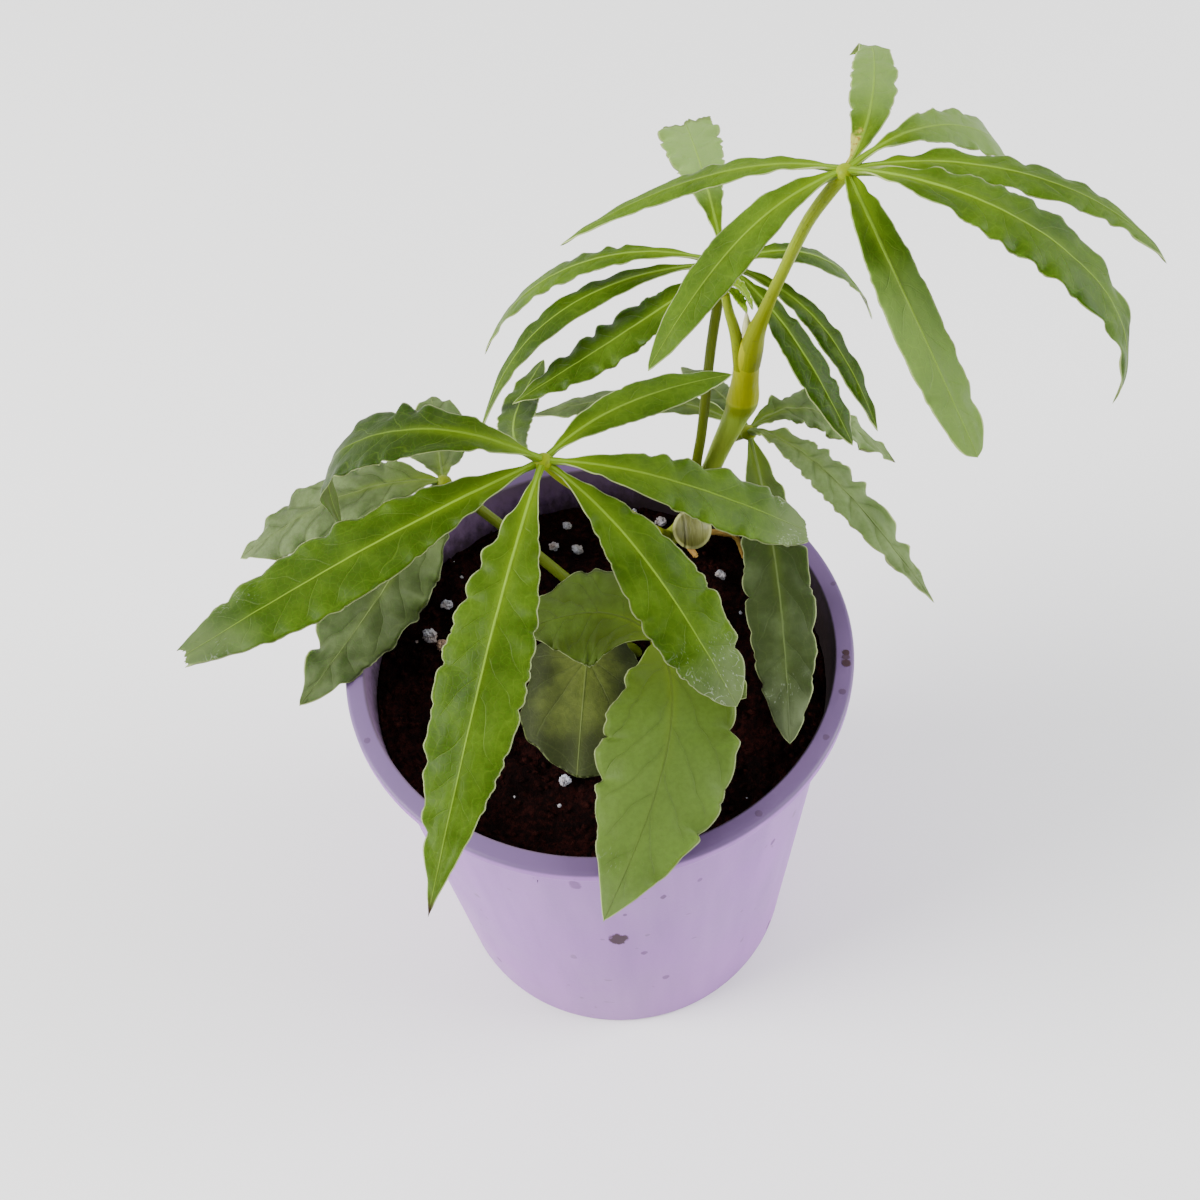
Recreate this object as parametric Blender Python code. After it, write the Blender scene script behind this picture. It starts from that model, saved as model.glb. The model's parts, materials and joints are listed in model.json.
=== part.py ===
"""A young palmate-leaved anthurium in a lilac nursery pot.

The pot's foot stands on z = 0 with the pot's axis on Z. Tables are in millimetres from the pot's bottom
centre, because that is how a plant is measured with a ruler, and MM turns them into metres.
"""
import math
from collections import namedtuple

import bmesh
import bpy
from mathutils import Vector
from mathutils.bvhtree import BVHTree

MM = 0.001
GAP = 0.3                 # clearance that neighbouring pieces keep, in millimetres
SINK = 4.0                # how far a cutter runs past what it cuts

# Pot: a 12 cm nursery pot with a flat turned-out lip
RIM_RADIUS = 60.0
POT_HEIGHT = 116.0
LIP_WIDTH = 4.6
LIP_DEPTH = 3.4
LIP_ROUND = 0.6           # how far the lip's corners are cut back
FOOT_RADIUS = 46.5
FOOT_BEVEL = 1.0
WALL = 1.2
FLOOR = 1.6
FLOOR_BEVEL = 1.5
POT_SIDES = 64
DRAIN_HOLES = 6
DRAIN_RADIUS = 3.5
DRAIN_CIRCLE = 30.0

# Soil: a plug of potting mix with a crumbled top
SOIL_TOP = 103.6
SOIL_RELIEF = 1.1
SOIL_TILT = 1.2           # how much higher the soil lies at the left than at the pot's axis
SOIL_RINGS = 10
SOIL_SECTORS = 44
SOIL_CALM = 8.0           # width of the belt by the wall in which the crumbs level out
GRAIN_SEAT = 0.3          # clearance between a perlite grain and the soil that it lies on

# Blades: thickness at the edge and at the rib, the folds across, and the wave along the edges
BLADE_EDGE = 0.6
BLADE_RIB = 0.9
STALK_WIDTH = 1.9
TIP_FALL = 0.85           # power by which the width falls off to the tip
STALK_FOLD = 0.45         # how high the edges fold up beside the knob, as a share of the half width
DROOP = 0.16              # how far the edges hang half way out, as a share of the half width
WAVE_DEPTH = 0.08         # how far a crest stands out, as a share of the half width
WAVE_LIFT = 0.03          # how far a crest lifts off the blade, as a share of the full width
FEWEST_WAVES = 6
KNOB_RADIUS = 2.3
YOUNG_KNOB_RADIUS = 1.5

Point = namedtuple('Point', 'x y z radius')
# reach: from the knob to where a straight tip would be; width: of the widest place
# arch, sweep: how far the middle rises and swings left; hook, veer: how far the tip drops and turns left
# roll, twist: degrees of roll at the knob, and gained by the tip; belly: share out of the widest place
# pitch: length of one edge wave; cup: how steeply both edges fold up; lift: how strong the waves are
Leaflet = namedtuple(
    'Leaflet', 'reach width arch sweep roll twist hook veer belly pitch cup lift',
    defaults=(0.0, 0.0, 0.0, 0.0, 0.0, 0.0, 0.62, 8.0, 0.0, 1.0))


def clear_scene():
    for item in list(bpy.data.objects):
        bpy.data.objects.remove(item, do_unlink=True)


def material(name, colour, roughness):
    """A plain finish for one kind of surface, in linear colour."""
    finish = bpy.data.materials.new(name)
    finish.use_nodes = True
    shader = finish.node_tree.nodes['Principled BSDF']
    shader.inputs['Base Color'].default_value = (*colour, 1.0)
    shader.inputs['Roughness'].default_value = roughness
    shader.inputs['Metallic'].default_value = 0.0
    return finish


def mesh_object(name, points, faces, finish, smooth=True):
    """One closed mesh from points in millimetres."""
    mesh = bpy.data.meshes.new(name)
    mesh.from_pydata([Vector(p) * MM for p in points], [], faces)
    mesh.materials.append(finish)
    if smooth:
        mesh.shade_smooth()
        mesh.set_sharp_from_angle(angle=math.radians(40))
    mesh.update()
    item = bpy.data.objects.new(name, mesh)
    bpy.context.scene.collection.objects.link(item)
    return item


def apply_boolean(item, operation, tools):
    """Joins the tools to the item, or cuts them from it, and removes them."""
    group = bpy.data.collections.new(item.name + '_tools')
    bpy.context.scene.collection.children.link(group)
    for tool in tools:
        bpy.context.scene.collection.objects.unlink(tool)
        group.objects.link(tool)
        tool.hide_render = True
        tool.display_type = 'WIRE'
    modifier = item.modifiers.new('tools', 'BOOLEAN')
    modifier.operation = operation
    modifier.operand_type = 'COLLECTION'
    modifier.collection = group
    modifier.solver = 'EXACT'
    depsgraph = bpy.context.evaluated_depsgraph_get()
    result = bpy.data.meshes.new_from_object(item.evaluated_get(depsgraph))
    finish = item.data.materials[0]
    item.modifiers.clear()
    item.data = result
    item.data.materials.clear()
    item.data.materials.append(finish)
    for tool in tools:
        bpy.data.objects.remove(tool, do_unlink=True)
    bpy.data.collections.remove(group)
    return item


def smooth_path(points, steps):
    """A Catmull-Rom curve through control points that carry a radius, with steps to a span."""
    ends = [points[0], *points, points[-1]]
    path = []
    for before, start, stop, after in zip(ends, ends[1:], ends[2:], ends[3:]):
        for i in range(steps):
            t = i / steps
            weights = (
                -0.5 * t + t * t - 0.5 * t ** 3,
                1.0 - 2.5 * t * t + 1.5 * t ** 3,
                0.5 * t + 2.0 * t * t - 1.5 * t ** 3,
                -0.5 * t * t + 0.5 * t ** 3)
            path.append(Point(*(
                sum(w * value for w, value in zip(weights, values))
                for values in zip(before, start, stop, after))))
    path.append(points[-1])
    return path


def tube(name, path, sides, finish, grow=0.0):
    """A closed round tube along a path; grow widens it and lengthens both ends, as a cutter needs."""
    centres = [Vector(p[:3]) for p in path]
    if grow:
        centres[0] += (centres[0] - centres[1]).normalized() * grow
        centres[-1] += (centres[-1] - centres[-2]).normalized() * grow
    across = Vector((1.0, 0.0, 0.0))
    points = []
    for i, centre in enumerate(centres):
        along = (centres[min(i + 1, len(centres) - 1)] - centres[max(i - 1, 0)]).normalized()
        across = (across - along * across.dot(along)).normalized()
        other = along.cross(across)
        for k in range(sides):
            angle = math.tau * k / sides
            ring = across * math.cos(angle) + other * math.sin(angle)
            points.append(centre + ring * (path[i].radius + grow))
    faces = []
    for i in range(len(centres) - 1):
        for k in range(sides):
            a, b = i * sides + k, i * sides + (k + 1) % sides
            faces.append((a, b, b + sides, a + sides))
    faces.append(tuple(reversed(range(sides))))
    faces.append(tuple(range(len(points) - sides, len(points))))
    return mesh_object(name, points, faces, finish)


def rib_point(hub, leaflet, s):
    """The rib's place a share s of the way out.

    It is the straight reach, arched up and swept to the left in its middle; near the tip it hooks down and
    veers to the left.
    """
    reach = Vector(leaflet.reach)
    left = Vector((-reach.y, reach.x, 0.0)).normalized()
    hump = 4.0 * s * (1.0 - s) * (1.25 - 0.5 * s)
    up = Vector((0.0, 0.0, leaflet.arch * hump - leaflet.hook * s ** 6))
    aside = leaflet.sweep * hump + leaflet.veer * s ** 6
    return hub + reach * s + left * aside + up


def blade(name, hub, leaflet, finish):
    """One leaflet: a thin waved blade along its rib.

    Stations come in pairs, one on a crest of the waved edge and one in a trough, and both faces are split
    into triangles alike.
    """
    reach = Vector(leaflet.reach)
    left_flat = Vector((-reach.y, reach.x, 0.0)).normalized()
    waves = max(FEWEST_WAVES, round(reach.length / leaflet.pitch))
    stations = 2 * waves
    rise = TIP_FALL * leaflet.belly / (1.0 - leaflet.belly)
    widest = leaflet.belly ** rise * (1.0 - leaflet.belly) ** TIP_FALL
    points = []
    for i in range(stations + 1):
        s = i / stations
        ahead, behind = min(s + 0.01, 1.0), max(s - 0.01, 0.0)
        along = (rib_point(hub, leaflet, ahead) - rib_point(hub, leaflet, behind)).normalized()
        left = (left_flat - along * left_flat.dot(along)).normalized()
        normal = along.cross(left)
        roll = math.radians(leaflet.roll + leaflet.twist * s)
        left, normal = (left * math.cos(roll) + normal * math.sin(roll),
                        normal * math.cos(roll) - left * math.sin(roll))
        # the leaflet's own short stalk fades out along the rib, where the blade takes over
        stalk = 0.5 * STALK_WIDTH * max(0.0, 1.0 - s * 1.3) + 0.2
        spread = s ** rise * (1.0 - s) ** TIP_FALL / widest * leaflet.width * 0.5
        half = max(spread, stalk)
        # crests and troughs take turns and die out where the blade is narrow
        crest = (1.0 if i % 2 else -1.0) * min(1.0, spread / (0.25 * leaflet.width)) * leaflet.lift
        fold = half * (STALK_FOLD * (1.0 - s) ** 3 - DROOP * math.sin(math.pi * s) + leaflet.cup)
        # beside the knob the blade is as thick as the stalk it grows from
        rib_half = 0.5 * (BLADE_RIB * (1.0 - 0.3 * s) + 1.1 * math.exp(-s / 0.06))
        edge_half = 0.5 * (BLADE_EDGE + 0.9 * math.exp(-s / 0.05))
        centre = rib_point(hub, leaflet, s)
        for side, sense in ((1.0, 1.0), (0.0, 0.0), (-1.0, -1.0)):
            offset = left * side * half * (1.0 + WAVE_DEPTH * crest * sense)
            lift = normal * abs(side) * (fold + WAVE_LIFT * leaflet.width * crest * sense)
            thick = edge_half if side else rib_half
            points.append(centre + offset + lift + normal * thick)
            points.append(centre + offset + lift - normal * thick)
    faces = []
    # in each station: 0 left top, 1 left under, 2 rib top, 3 rib under, 4 right top, 5 right under
    for i in range(stations):
        a, b = i * 6, i * 6 + 6
        faces += [(a + 2, b + 2, b), (a + 2, b, a), (a + 2, a + 4, b + 4), (a + 2, b + 4, b + 2)]
        faces += [(a + 3, b + 1, b + 3), (a + 3, a + 1, b + 1), (a + 3, b + 5, a + 5), (a + 3, b + 3, b + 5)]
        faces += [(a, b, b + 1), (a, b + 1, a + 1), (a + 4, a + 5, b + 5), (a + 4, b + 5, b + 4)]
    last = stations * 6
    faces += [(0, 1, 3, 2), (2, 3, 5, 4)]
    faces += [(last, last + 2, last + 3, last + 1), (last + 2, last + 4, last + 5, last + 3)]
    return mesh_object(name, points, faces, finish)


def hub_knob(name, centre, radius, finish):
    """The small swollen knob where the leaflets' stalks meet the leaf stalk."""
    knob = bmesh.new()
    bmesh.ops.create_icosphere(knob, subdivisions=1, radius=radius * MM)
    bmesh.ops.translate(knob, verts=knob.verts, vec=Vector(centre) * MM)
    mesh = bpy.data.meshes.new(name)
    knob.to_mesh(mesh)
    knob.free()
    mesh.materials.append(finish)
    item = bpy.data.objects.new(name, mesh)
    bpy.context.scene.collection.objects.link(item)
    return item


def leaf(name, stalk, leaflets, finish, knob=KNOB_RADIUS):
    """One leaf as it grew: leaf stalk, knob and all its leaflets in one body."""
    hub = Vector(stalk[-1][:3])
    body = tube(name, smooth_path([Point(*p) for p in stalk], 4), 8, finish)
    parts = [hub_knob(name + '_knob', hub, knob, finish)]
    for i, leaflet in enumerate(leaflets):
        parts.append(blade(f'{name}_{i}', hub, leaflet, finish))
    return apply_boolean(body, 'UNION', parts)


def turned(name, profile, sides, finish):
    """A closed turned shape from (radius, height) points, which start and end on the axis."""
    points = []
    rings = []
    for radius, height in profile:
        if radius < 1e-6:
            rings.append([len(points)])
            points.append((0.0, 0.0, height))
            continue
        rings.append(list(range(len(points), len(points) + sides)))
        for k in range(sides):
            angle = math.tau * k / sides
            points.append((radius * math.cos(angle), radius * math.sin(angle), height))
    faces = []
    for low, high in zip(rings, rings[1:]):
        for k in range(sides):
            n = (k + 1) % sides
            if len(low) == 1:
                faces.append((low[0], high[n], high[k]))
            elif len(high) == 1:
                faces.append((low[k], low[n], high[0]))
            else:
                faces.append((low[k], low[n], high[n], high[k]))
    return mesh_object(name, points, faces, finish)


def wall_radius(height, inner):
    """Radius of the pot's tapered wall at a height, outside or inside."""
    top = RIM_RADIUS - LIP_WIDTH + WALL
    outside = FOOT_RADIUS + (top - FOOT_RADIUS) * height / POT_HEIGHT
    return outside - WALL if inner else outside


def make_pot(finish):
    lip = POT_HEIGHT - LIP_DEPTH
    profile = [
        (0.0, 0.0), (FOOT_RADIUS - FOOT_BEVEL, 0.0), (wall_radius(FOOT_BEVEL, False), FOOT_BEVEL),
        (wall_radius(lip, False), lip), (RIM_RADIUS - LIP_ROUND, lip), (RIM_RADIUS, lip + LIP_ROUND),
        (RIM_RADIUS, POT_HEIGHT - LIP_ROUND), (RIM_RADIUS - LIP_ROUND, POT_HEIGHT),
        (RIM_RADIUS - LIP_WIDTH + LIP_ROUND, POT_HEIGHT),
        (wall_radius(POT_HEIGHT - LIP_ROUND, True), POT_HEIGHT - LIP_ROUND),
        (wall_radius(FLOOR + FLOOR_BEVEL, True), FLOOR + FLOOR_BEVEL),
        (wall_radius(FLOOR, True) - FLOOR_BEVEL, FLOOR), (0.0, FLOOR)]
    pot = turned('pot', profile, POT_SIDES, finish)
    drills = []
    for k in range(DRAIN_HOLES):
        angle = math.tau * (k + 0.5) / DRAIN_HOLES
        x, y = DRAIN_CIRCLE * math.cos(angle), DRAIN_CIRCLE * math.sin(angle)
        ends = [Point(x, y, -SINK, DRAIN_RADIUS), Point(x, y, FLOOR + SINK, DRAIN_RADIUS)]
        drills.append(tube(f'drill_{k}', ends, 12, finish))
    return apply_boolean(pot, 'DIFFERENCE', drills)


def soil_height(x, y):
    """The crumbled top of the soil: a few waves of different directions on a plane that tilts to the left."""
    radius = math.hypot(x, y)
    calm = min(1.0, max(0.0, (wall_radius(SOIL_TOP, True) - radius) / SOIL_CALM))
    bumps = (math.sin(0.31 * x + 0.17 * y + 1.0) + math.sin(0.23 * y - 0.12 * x)
             + 0.7 * math.sin(0.52 * x - 0.41 * y + 2.0) + 0.6 * math.sin(0.64 * y + 0.38 * x))
    slope = SOIL_TILT * (-x - 0.6 * y) / wall_radius(SOIL_TOP, True)
    return SOIL_TOP + SOIL_RELIEF * calm * bumps / 2.2 + slope


def make_soil(finish):
    bottom = FLOOR + GAP
    rim = wall_radius(SOIL_TOP, True) - 1.4 * GAP
    foot = wall_radius(bottom + FLOOR_BEVEL, True) - 1.7 * GAP
    points = [(0.0, 0.0, soil_height(0.0, 0.0))]
    for ring in range(1, SOIL_RINGS + 1):
        for k in range(SOIL_SECTORS):
            angle = math.tau * (k + 0.5 * (ring % 2)) / SOIL_SECTORS
            radius = rim * (ring / SOIL_RINGS) ** 0.8
            x, y = radius * math.cos(angle), radius * math.sin(angle)
            points.append((x, y, soil_height(x, y)))
    start = len(points)
    for radius, height in ((foot, bottom + 1.3 * FLOOR_BEVEL), (foot - 1.3 * FLOOR_BEVEL, bottom)):
        for k in range(SOIL_SECTORS):
            angle = math.tau * k / SOIL_SECTORS
            points.append((radius * math.cos(angle), radius * math.sin(angle), height))
    faces = []
    for k in range(SOIL_SECTORS):
        faces.append((0, 1 + k, 1 + (k + 1) % SOIL_SECTORS))
    for ring in range(SOIL_RINGS - 1):
        a = 1 + ring * SOIL_SECTORS
        b = a + SOIL_SECTORS
        for k in range(SOIL_SECTORS):
            n = (k + 1) % SOIL_SECTORS
            # odd rings are turned half a sector, so the triangles lean one way and then the other
            if ring % 2:
                faces += [(a + k, b + k, b + n), (a + k, b + n, a + n)]
            else:
                faces += [(a + k, b + k, a + n), (b + k, b + n, a + n)]
    edge = 1 + (SOIL_RINGS - 1) * SOIL_SECTORS
    for k in range(SOIL_SECTORS):
        n = (k + 1) % SOIL_SECTORS
        faces.append((edge + k, start + k, start + n, edge + n))
        faces.append((start + k, start + SOIL_SECTORS + k, start + SOIL_SECTORS + n, start + n))
    faces.append(tuple(reversed(range(start + SOIL_SECTORS, start + 2 * SOIL_SECTORS))))
    return mesh_object('soil', points, faces, finish)


# Stem: creeps up out of the soil, turns at the lower node and swells at the ring below the top leaf
STEM = [
    (9.0, 31.0, 88.0, 1.8), (12.0, 33.5, 98.0, 1.9), (17.5, 36.0, 105.5, 2.1), (23.5, 37.0, 110.0, 2.3),
    (28.5, 38.5, 119.0, 2.2), (34.0, 40.2, 134.0, 2.4), (38.3, 41.2, 145.0, 3.0), (39.6, 41.0, 149.5, 3.75),
    (40.0, 40.4, 152.8, 3.7), (40.1, 39.1, 159.2, 3.1), (40.0, 37.1, 169.6, 3.1), (39.8, 36.1, 175.2, 3.0)]

# Leaf stalks: x, y, z and radius from the foot to the knob
FRONT_STALK = [
    (21.0, 36.6, 108.6, 1.5), (17.5, 33.5, 115.0, 1.4), (9.0, 25.5, 134.0, 1.2), (-2.0, 11.0, 161.0, 1.1),
    (-7.0, 1.0, 180.0, 1.2)]
TOP_STALK = [
    (41.4, 36.5, 170.8, 1.4), (42.6, 34.4, 181.6, 1.35), (45.6, 28.6, 199.0, 1.25), (49.5, 24.2, 215.4, 1.3),
    (55.0, 21.0, 228.0, 1.4)]
BACK_STALK = [
    (30.6, 39.2, 125.0, 1.4), (28.4, 38.2, 131.0, 1.3), (30.0, 38.6, 145.0, 1.2), (33.0, 43.6, 168.0, 1.2),
    (36.6, 49.0, 184.5, 1.2)]
RIGHT_STALK = [
    (28.0, 38.8, 118.0, 1.4), (30.5, 44.0, 121.5, 1.3), (36.0, 47.5, 129.0, 1.2), (42.0, 44.0, 136.0, 1.2)]
LEFT_STALK = [
    (8.0, 16.0, 90.0, 1.4), (4.0, 19.0, 101.0, 1.4), (-8.0, 26.0, 112.5, 1.4), (-22.0, 35.0, 124.0, 1.3),
    (-33.0, 40.0, 134.0, 1.3)]
THREE_LOBED_STALK = [
    (16.0, 10.0, 90.0, 1.3), (16.5, 8.0, 103.0, 1.2), (16.5, 3.0, 114.0, 1.2), (14.0, -5.0, 122.0, 1.2)]
HEART_STALK = [
    (10.0, 7.0, 90.0, 1.3), (9.5, 6.0, 102.0, 1.3), (6.0, 3.5, 109.0, 1.2), (-2.8, -1.0, 112.0, 1.1)]
YOUNG_STALK = [
    (38.0, 37.1, 170.6, 1.1), (37.0, 37.6, 177.0, 1.1), (35.2, 38.6, 182.5, 1.0), (35.2, 39.4, 186.0, 1.0)]

# Leaflets: reach from the knob to the tip, width, arch, sweep, and how the blade rolls, hooks and veers
FRONT_LEAFLETS = [
    Leaflet((-75, -28, -15), 16, arch=0.5, sweep=-2.5, roll=-8, belly=0.66),
    Leaflet((-31, -78, -40), 18.5, arch=7.5, sweep=0.5),
    Leaflet((34, -41, -35), 17, arch=2.5, sweep=3.2, roll=10, belly=0.66),
    Leaflet((55, -1, -30), 15.5, arch=8, sweep=-3, roll=12, belly=0.64),
    Leaflet((42, 24, -5), 9.5, arch=2.5, sweep=2.5, belly=0.55, roll=10),
    Leaflet((1.5, 58, -27), 8.5, arch=-4, sweep=7, belly=0.6),
    Leaflet((-52, 13, -7), 15, arch=15, sweep=5, hook=20, veer=-1, belly=0.64)]
TOP_LEAFLETS = [
    Leaflet((-54, 18, -23), 7.2, arch=3.5, sweep=-4.1, hook=2),
    Leaflet((-40, -21, -25), 10.4, arch=2.5, sweep=-4.6),
    Leaflet((17.5, -47, -30), 8.8, arch=3, sweep=1, belly=0.7),
    Leaflet((55, -33, -13), 14.5, arch=9, sweep=-3.8, hook=20, veer=-2, belly=0.68, pitch=6.5),
    Leaflet((61, -12, -11), 9, arch=3.5, sweep=3.5, hook=9),
    Leaflet((39, 22, -14), 11, arch=6.8, sweep=-1, roll=18, hook=3, belly=0.66),
    Leaflet((10, 40, 6), 10.5, arch=1, sweep=-5, hook=6, veer=1, belly=0.62)]
BACK_LEAFLETS = [
    Leaflet((-57.5, 13.5, -18), 7.8, arch=12.5, sweep=4.5, hook=17, veer=-4, pitch=6.5),
    Leaflet((-58.5, -11.5, -10.5), 8.4, arch=2.5, sweep=-4.5, hook=20, veer=1.5),
    Leaflet((-50, -14.5, -21), 12.5, arch=-0.5),
    Leaflet((24.5, -31, -28.5), 8.6, arch=2, sweep=2.4),
    Leaflet((30.5, -28.5, -27.5), 6.6, arch=-1, sweep=9),
    Leaflet((37, 6.5, -18), 7.6, arch=10, sweep=-4, hook=10.5, veer=2),
    Leaflet((-4, 38.5, 10.5), 13.5, arch=4, belly=0.8, pitch=6)]
RIGHT_LEAFLETS = [
    Leaflet((38, 1, -18), 12, arch=7.5, sweep=5, pitch=6),
    Leaflet((37, -46, -15), 9.5, arch=15, sweep=-3, pitch=6, lift=1.4),
    Leaflet((-2, -78, -18), 15.5, arch=-2, sweep=3),
    Leaflet((-53, 25, -12), 10, arch=6, sweep=-3),
    Leaflet((-13, 31, -6), 8, arch=2, sweep=-1)]
LEFT_LEAFLETS = [
    Leaflet((-54, -2, -18), 23, arch=8, belly=0.5, pitch=9, lift=1.2),
    Leaflet((-38, -47, -20), 21, sweep=1.5, belly=0.42, pitch=9, lift=1.2),
    Leaflet((-3, 35, -5), 18, belly=0.55)]
THREE_LOBED_LEAFLETS = [
    Leaflet((-31, 7, 0), 29, arch=2, sweep=-5, belly=0.45, pitch=9, lift=0.7),
    Leaflet((-19, -66, -5), 28, arch=6.5, sweep=8.5, belly=0.40, pitch=9, lift=0.7),
    Leaflet((18, -17, -2), 15, arch=2, belly=0.5)]
YOUNG_LEAFLETS = [
    Leaflet((6, -1.5, -5), 3.4, arch=3.5, cup=0.5, pitch=3),
    Leaflet((4.5, -3, -4.5), 3.0, arch=1.5, cup=0.5, pitch=3),
    Leaflet((-3, 4, 1), 3.0, arch=1.5, cup=0.5, pitch=3),
    Leaflet((2, 4.5, 0), 2.8, arch=1.5, cup=0.5, pitch=3)]

# The pale scale that stands between the two stalks on the stem's top: x, y, z and radius
SCALE = [(39.9, 36.9, 175.8, 0.8), (39.8, 37.2, 178.0, 0.75), (39.7, 37.6, 180.4, 0.4)]


def dish_faces(sectors, rings):
    """Faces of a thin round dish: an upper and a lower skin of the same rings, closed at the edge."""
    faces = []
    under = 1 + rings * sectors
    for k in range(sectors):
        n = (k + 1) % sectors
        faces.append((0, 1 + k, 1 + n))
        faces.append((under, under + 1 + n, under + 1 + k))
        for ring in range(rings - 1):
            a, b = 1 + ring * sectors, 1 + (ring + 1) * sectors
            faces += [(a + k, b + k, b + n), (a + k, b + n, a + n)]
            faces.append((under + a + k, under + b + n, under + b + k))
            faces.append((under + a + k, under + a + n, under + b + n))
        edge = 1 + (rings - 1) * sectors
        faces += [(edge + k, under + edge + k, under + edge + n), (edge + k, under + edge + n, edge + n)]
    return faces


# Heart-shaped blade: where its stalk comes in, which way it points, and its size round that point
HEART_ROOT = (-2.8, -1.0, 112.0)
HEART_DIRECTION = (-5.6, -31.0, -2.5)
HEART_SIZE = 15.0
HEART_TIP = 8.2
HEART_NOTCH = 8.0
HEART_FORWARD = 6.0
HEART_SECTORS = 28
HEART_RINGS = 4


def heart_blade(name, finish):
    """The low juvenile leaf: a heart-shaped blade spread round the top of its stalk."""
    root = Vector(HEART_ROOT)
    along = Vector(HEART_DIRECTION).normalized()
    left = Vector((-along.y, along.x, 0.0)).normalized()
    normal = along.cross(left)
    outline = []
    for k in range(HEART_SECTORS):
        angle = math.tau * k / HEART_SECTORS
        ahead, side = math.cos(angle), math.sin(angle)
        # long to the tip, lobed behind, notched where the stalk comes in
        size = HEART_SIZE + HEART_TIP * max(0.0, ahead) ** 3 + 1.2 * math.sin(5.0 * angle)
        size -= HEART_NOTCH * math.exp(-((angle - math.pi) / 0.30) ** 2)
        outline.append((size * ahead + HEART_FORWARD, size * side))
    points = []
    for skin in (0.5 * BLADE_EDGE, -0.5 * BLADE_EDGE):
        # twice as thick over the stalk
        points.append(root + normal * skin * 2.0)
        for ring in range(1, HEART_RINGS + 1):
            share = ring / HEART_RINGS
            for ahead, side in outline:
                ahead, side = ahead * share, side * share
                sag = -0.010 * side * side - 0.004 * ahead * ahead + 0.6 * math.sin(0.5 * side) * share
                points.append(root + along * ahead + left * side + normal * (sag + skin))
    return mesh_object(name, points, dish_faces(HEART_SECTORS, HEART_RINGS), finish)


# Sheath: a shallow hood that leans back against the stem
SHEATH_CENTRE = (26.6, 33.8, 113.9)
SHEATH_OUT = (0.0, -0.605, 0.796)
SHEATH_HALF_WIDTH = 4.7
SHEATH_HALF_LENGTH = 4.9
SHEATH_BULGE = 3.2
SHEATH_THICK = 0.8
SHEATH_SECTORS = 18
SHEATH_RINGS = 4


def make_sheath(finish):
    """The dry-edged hood that wraps the front of the stem's lower node."""
    centre = Vector(SHEATH_CENTRE)
    out = Vector(SHEATH_OUT)
    across = Vector((1.0, 0.0, 0.0))
    up = out.cross(across)
    points = []
    for skin in (0.0, -SHEATH_THICK):
        points.append(centre + out * (SHEATH_BULGE + skin))
        for ring in range(1, SHEATH_RINGS + 1):
            share = ring / SHEATH_RINGS
            dome = SHEATH_BULGE * math.sqrt(1.0 - 0.94 * share * share) + skin
            for k in range(SHEATH_SECTORS):
                angle = math.tau * k / SHEATH_SECTORS
                points.append(centre + across * SHEATH_HALF_WIDTH * share * math.cos(angle)
                              + up * SHEATH_HALF_LENGTH * share * math.sin(angle) + out * dome)
    return mesh_object('sheath', points, dish_faces(SHEATH_SECTORS, SHEATH_RINGS), finish)


# Aerial roots from the lower node, which dive into the soil: x, y, z and radius
ROOTS = {
    'root_left': [
        (20.5, 37.0, 107.8, 0.9), (17.0, 40.5, 107.5, 0.8), (12.5, 42.5, 105.5, 0.75),
        (9.0, 43.0, 98.0, 0.6)],
    'root_right': [
        (25.5, 37.5, 111.0, 0.9), (31.0, 37.0, 109.0, 0.8), (37.0, 34.5, 107.0, 0.75),
        (41.0, 31.0, 98.0, 0.6)],
    'root_stub': [
        (24.0, 36.5, 109.5, 0.9), (25.8, 33.4, 107.6, 0.85), (27.2, 31.0, 106.6, 0.7)]}

# Perlite: white grains lying on the soil, x, y and size
GRAINS = [
    (-4.4, 48.0, 2.6), (-8.5, 41.5, 3.0), (-2.5, 39.0, 3.2), (9.0, 50.5, 4.2), (12.8, 49.5, 3.4),
    (19.8, 46.0, 3.4), (-36.6, 25.5, 3.4), (-41.0, 15.5, 4.4), (-38.0, 12.0, 3.6), (33.0, 26.5, 3.2),
    (-10.6, -29.6, 3.2), (14.0, -44.0, 3.4)]


def make_grain(index, x, y, size, ground, finish):
    """One perlite grain: a lumpy pebble, let down until it almost touches the soil."""
    grain = bmesh.new()
    bmesh.ops.create_icosphere(grain, subdivisions=1, radius=1.0)
    half = size * 0.5
    for vert in grain.verts:
        lump = 1.0 + 0.16 * math.sin(5.0 * vert.co.x + index) * math.cos(4.0 * vert.co.y - index)
        vert.co = Vector((vert.co.x, vert.co.y * 0.85, vert.co.z * 0.7)) * half * lump
    points = [vert.co + Vector((x, y, SOIL_TOP + size)) for vert in grain.verts]
    faces = [tuple(v.index for v in face.verts) for face in grain.faces]
    grain.free()
    falls = []
    for point in points:
        landing = ground.ray_cast(point * MM, Vector((0.0, 0.0, -1.0)))[0]
        falls.append(point.z - landing.z / MM)
    down = Vector((0.0, 0.0, GRAIN_SEAT - min(falls)))
    return mesh_object(f'perlite_{index + 1}', [p + down for p in points], faces, finish, smooth=False)


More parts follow.
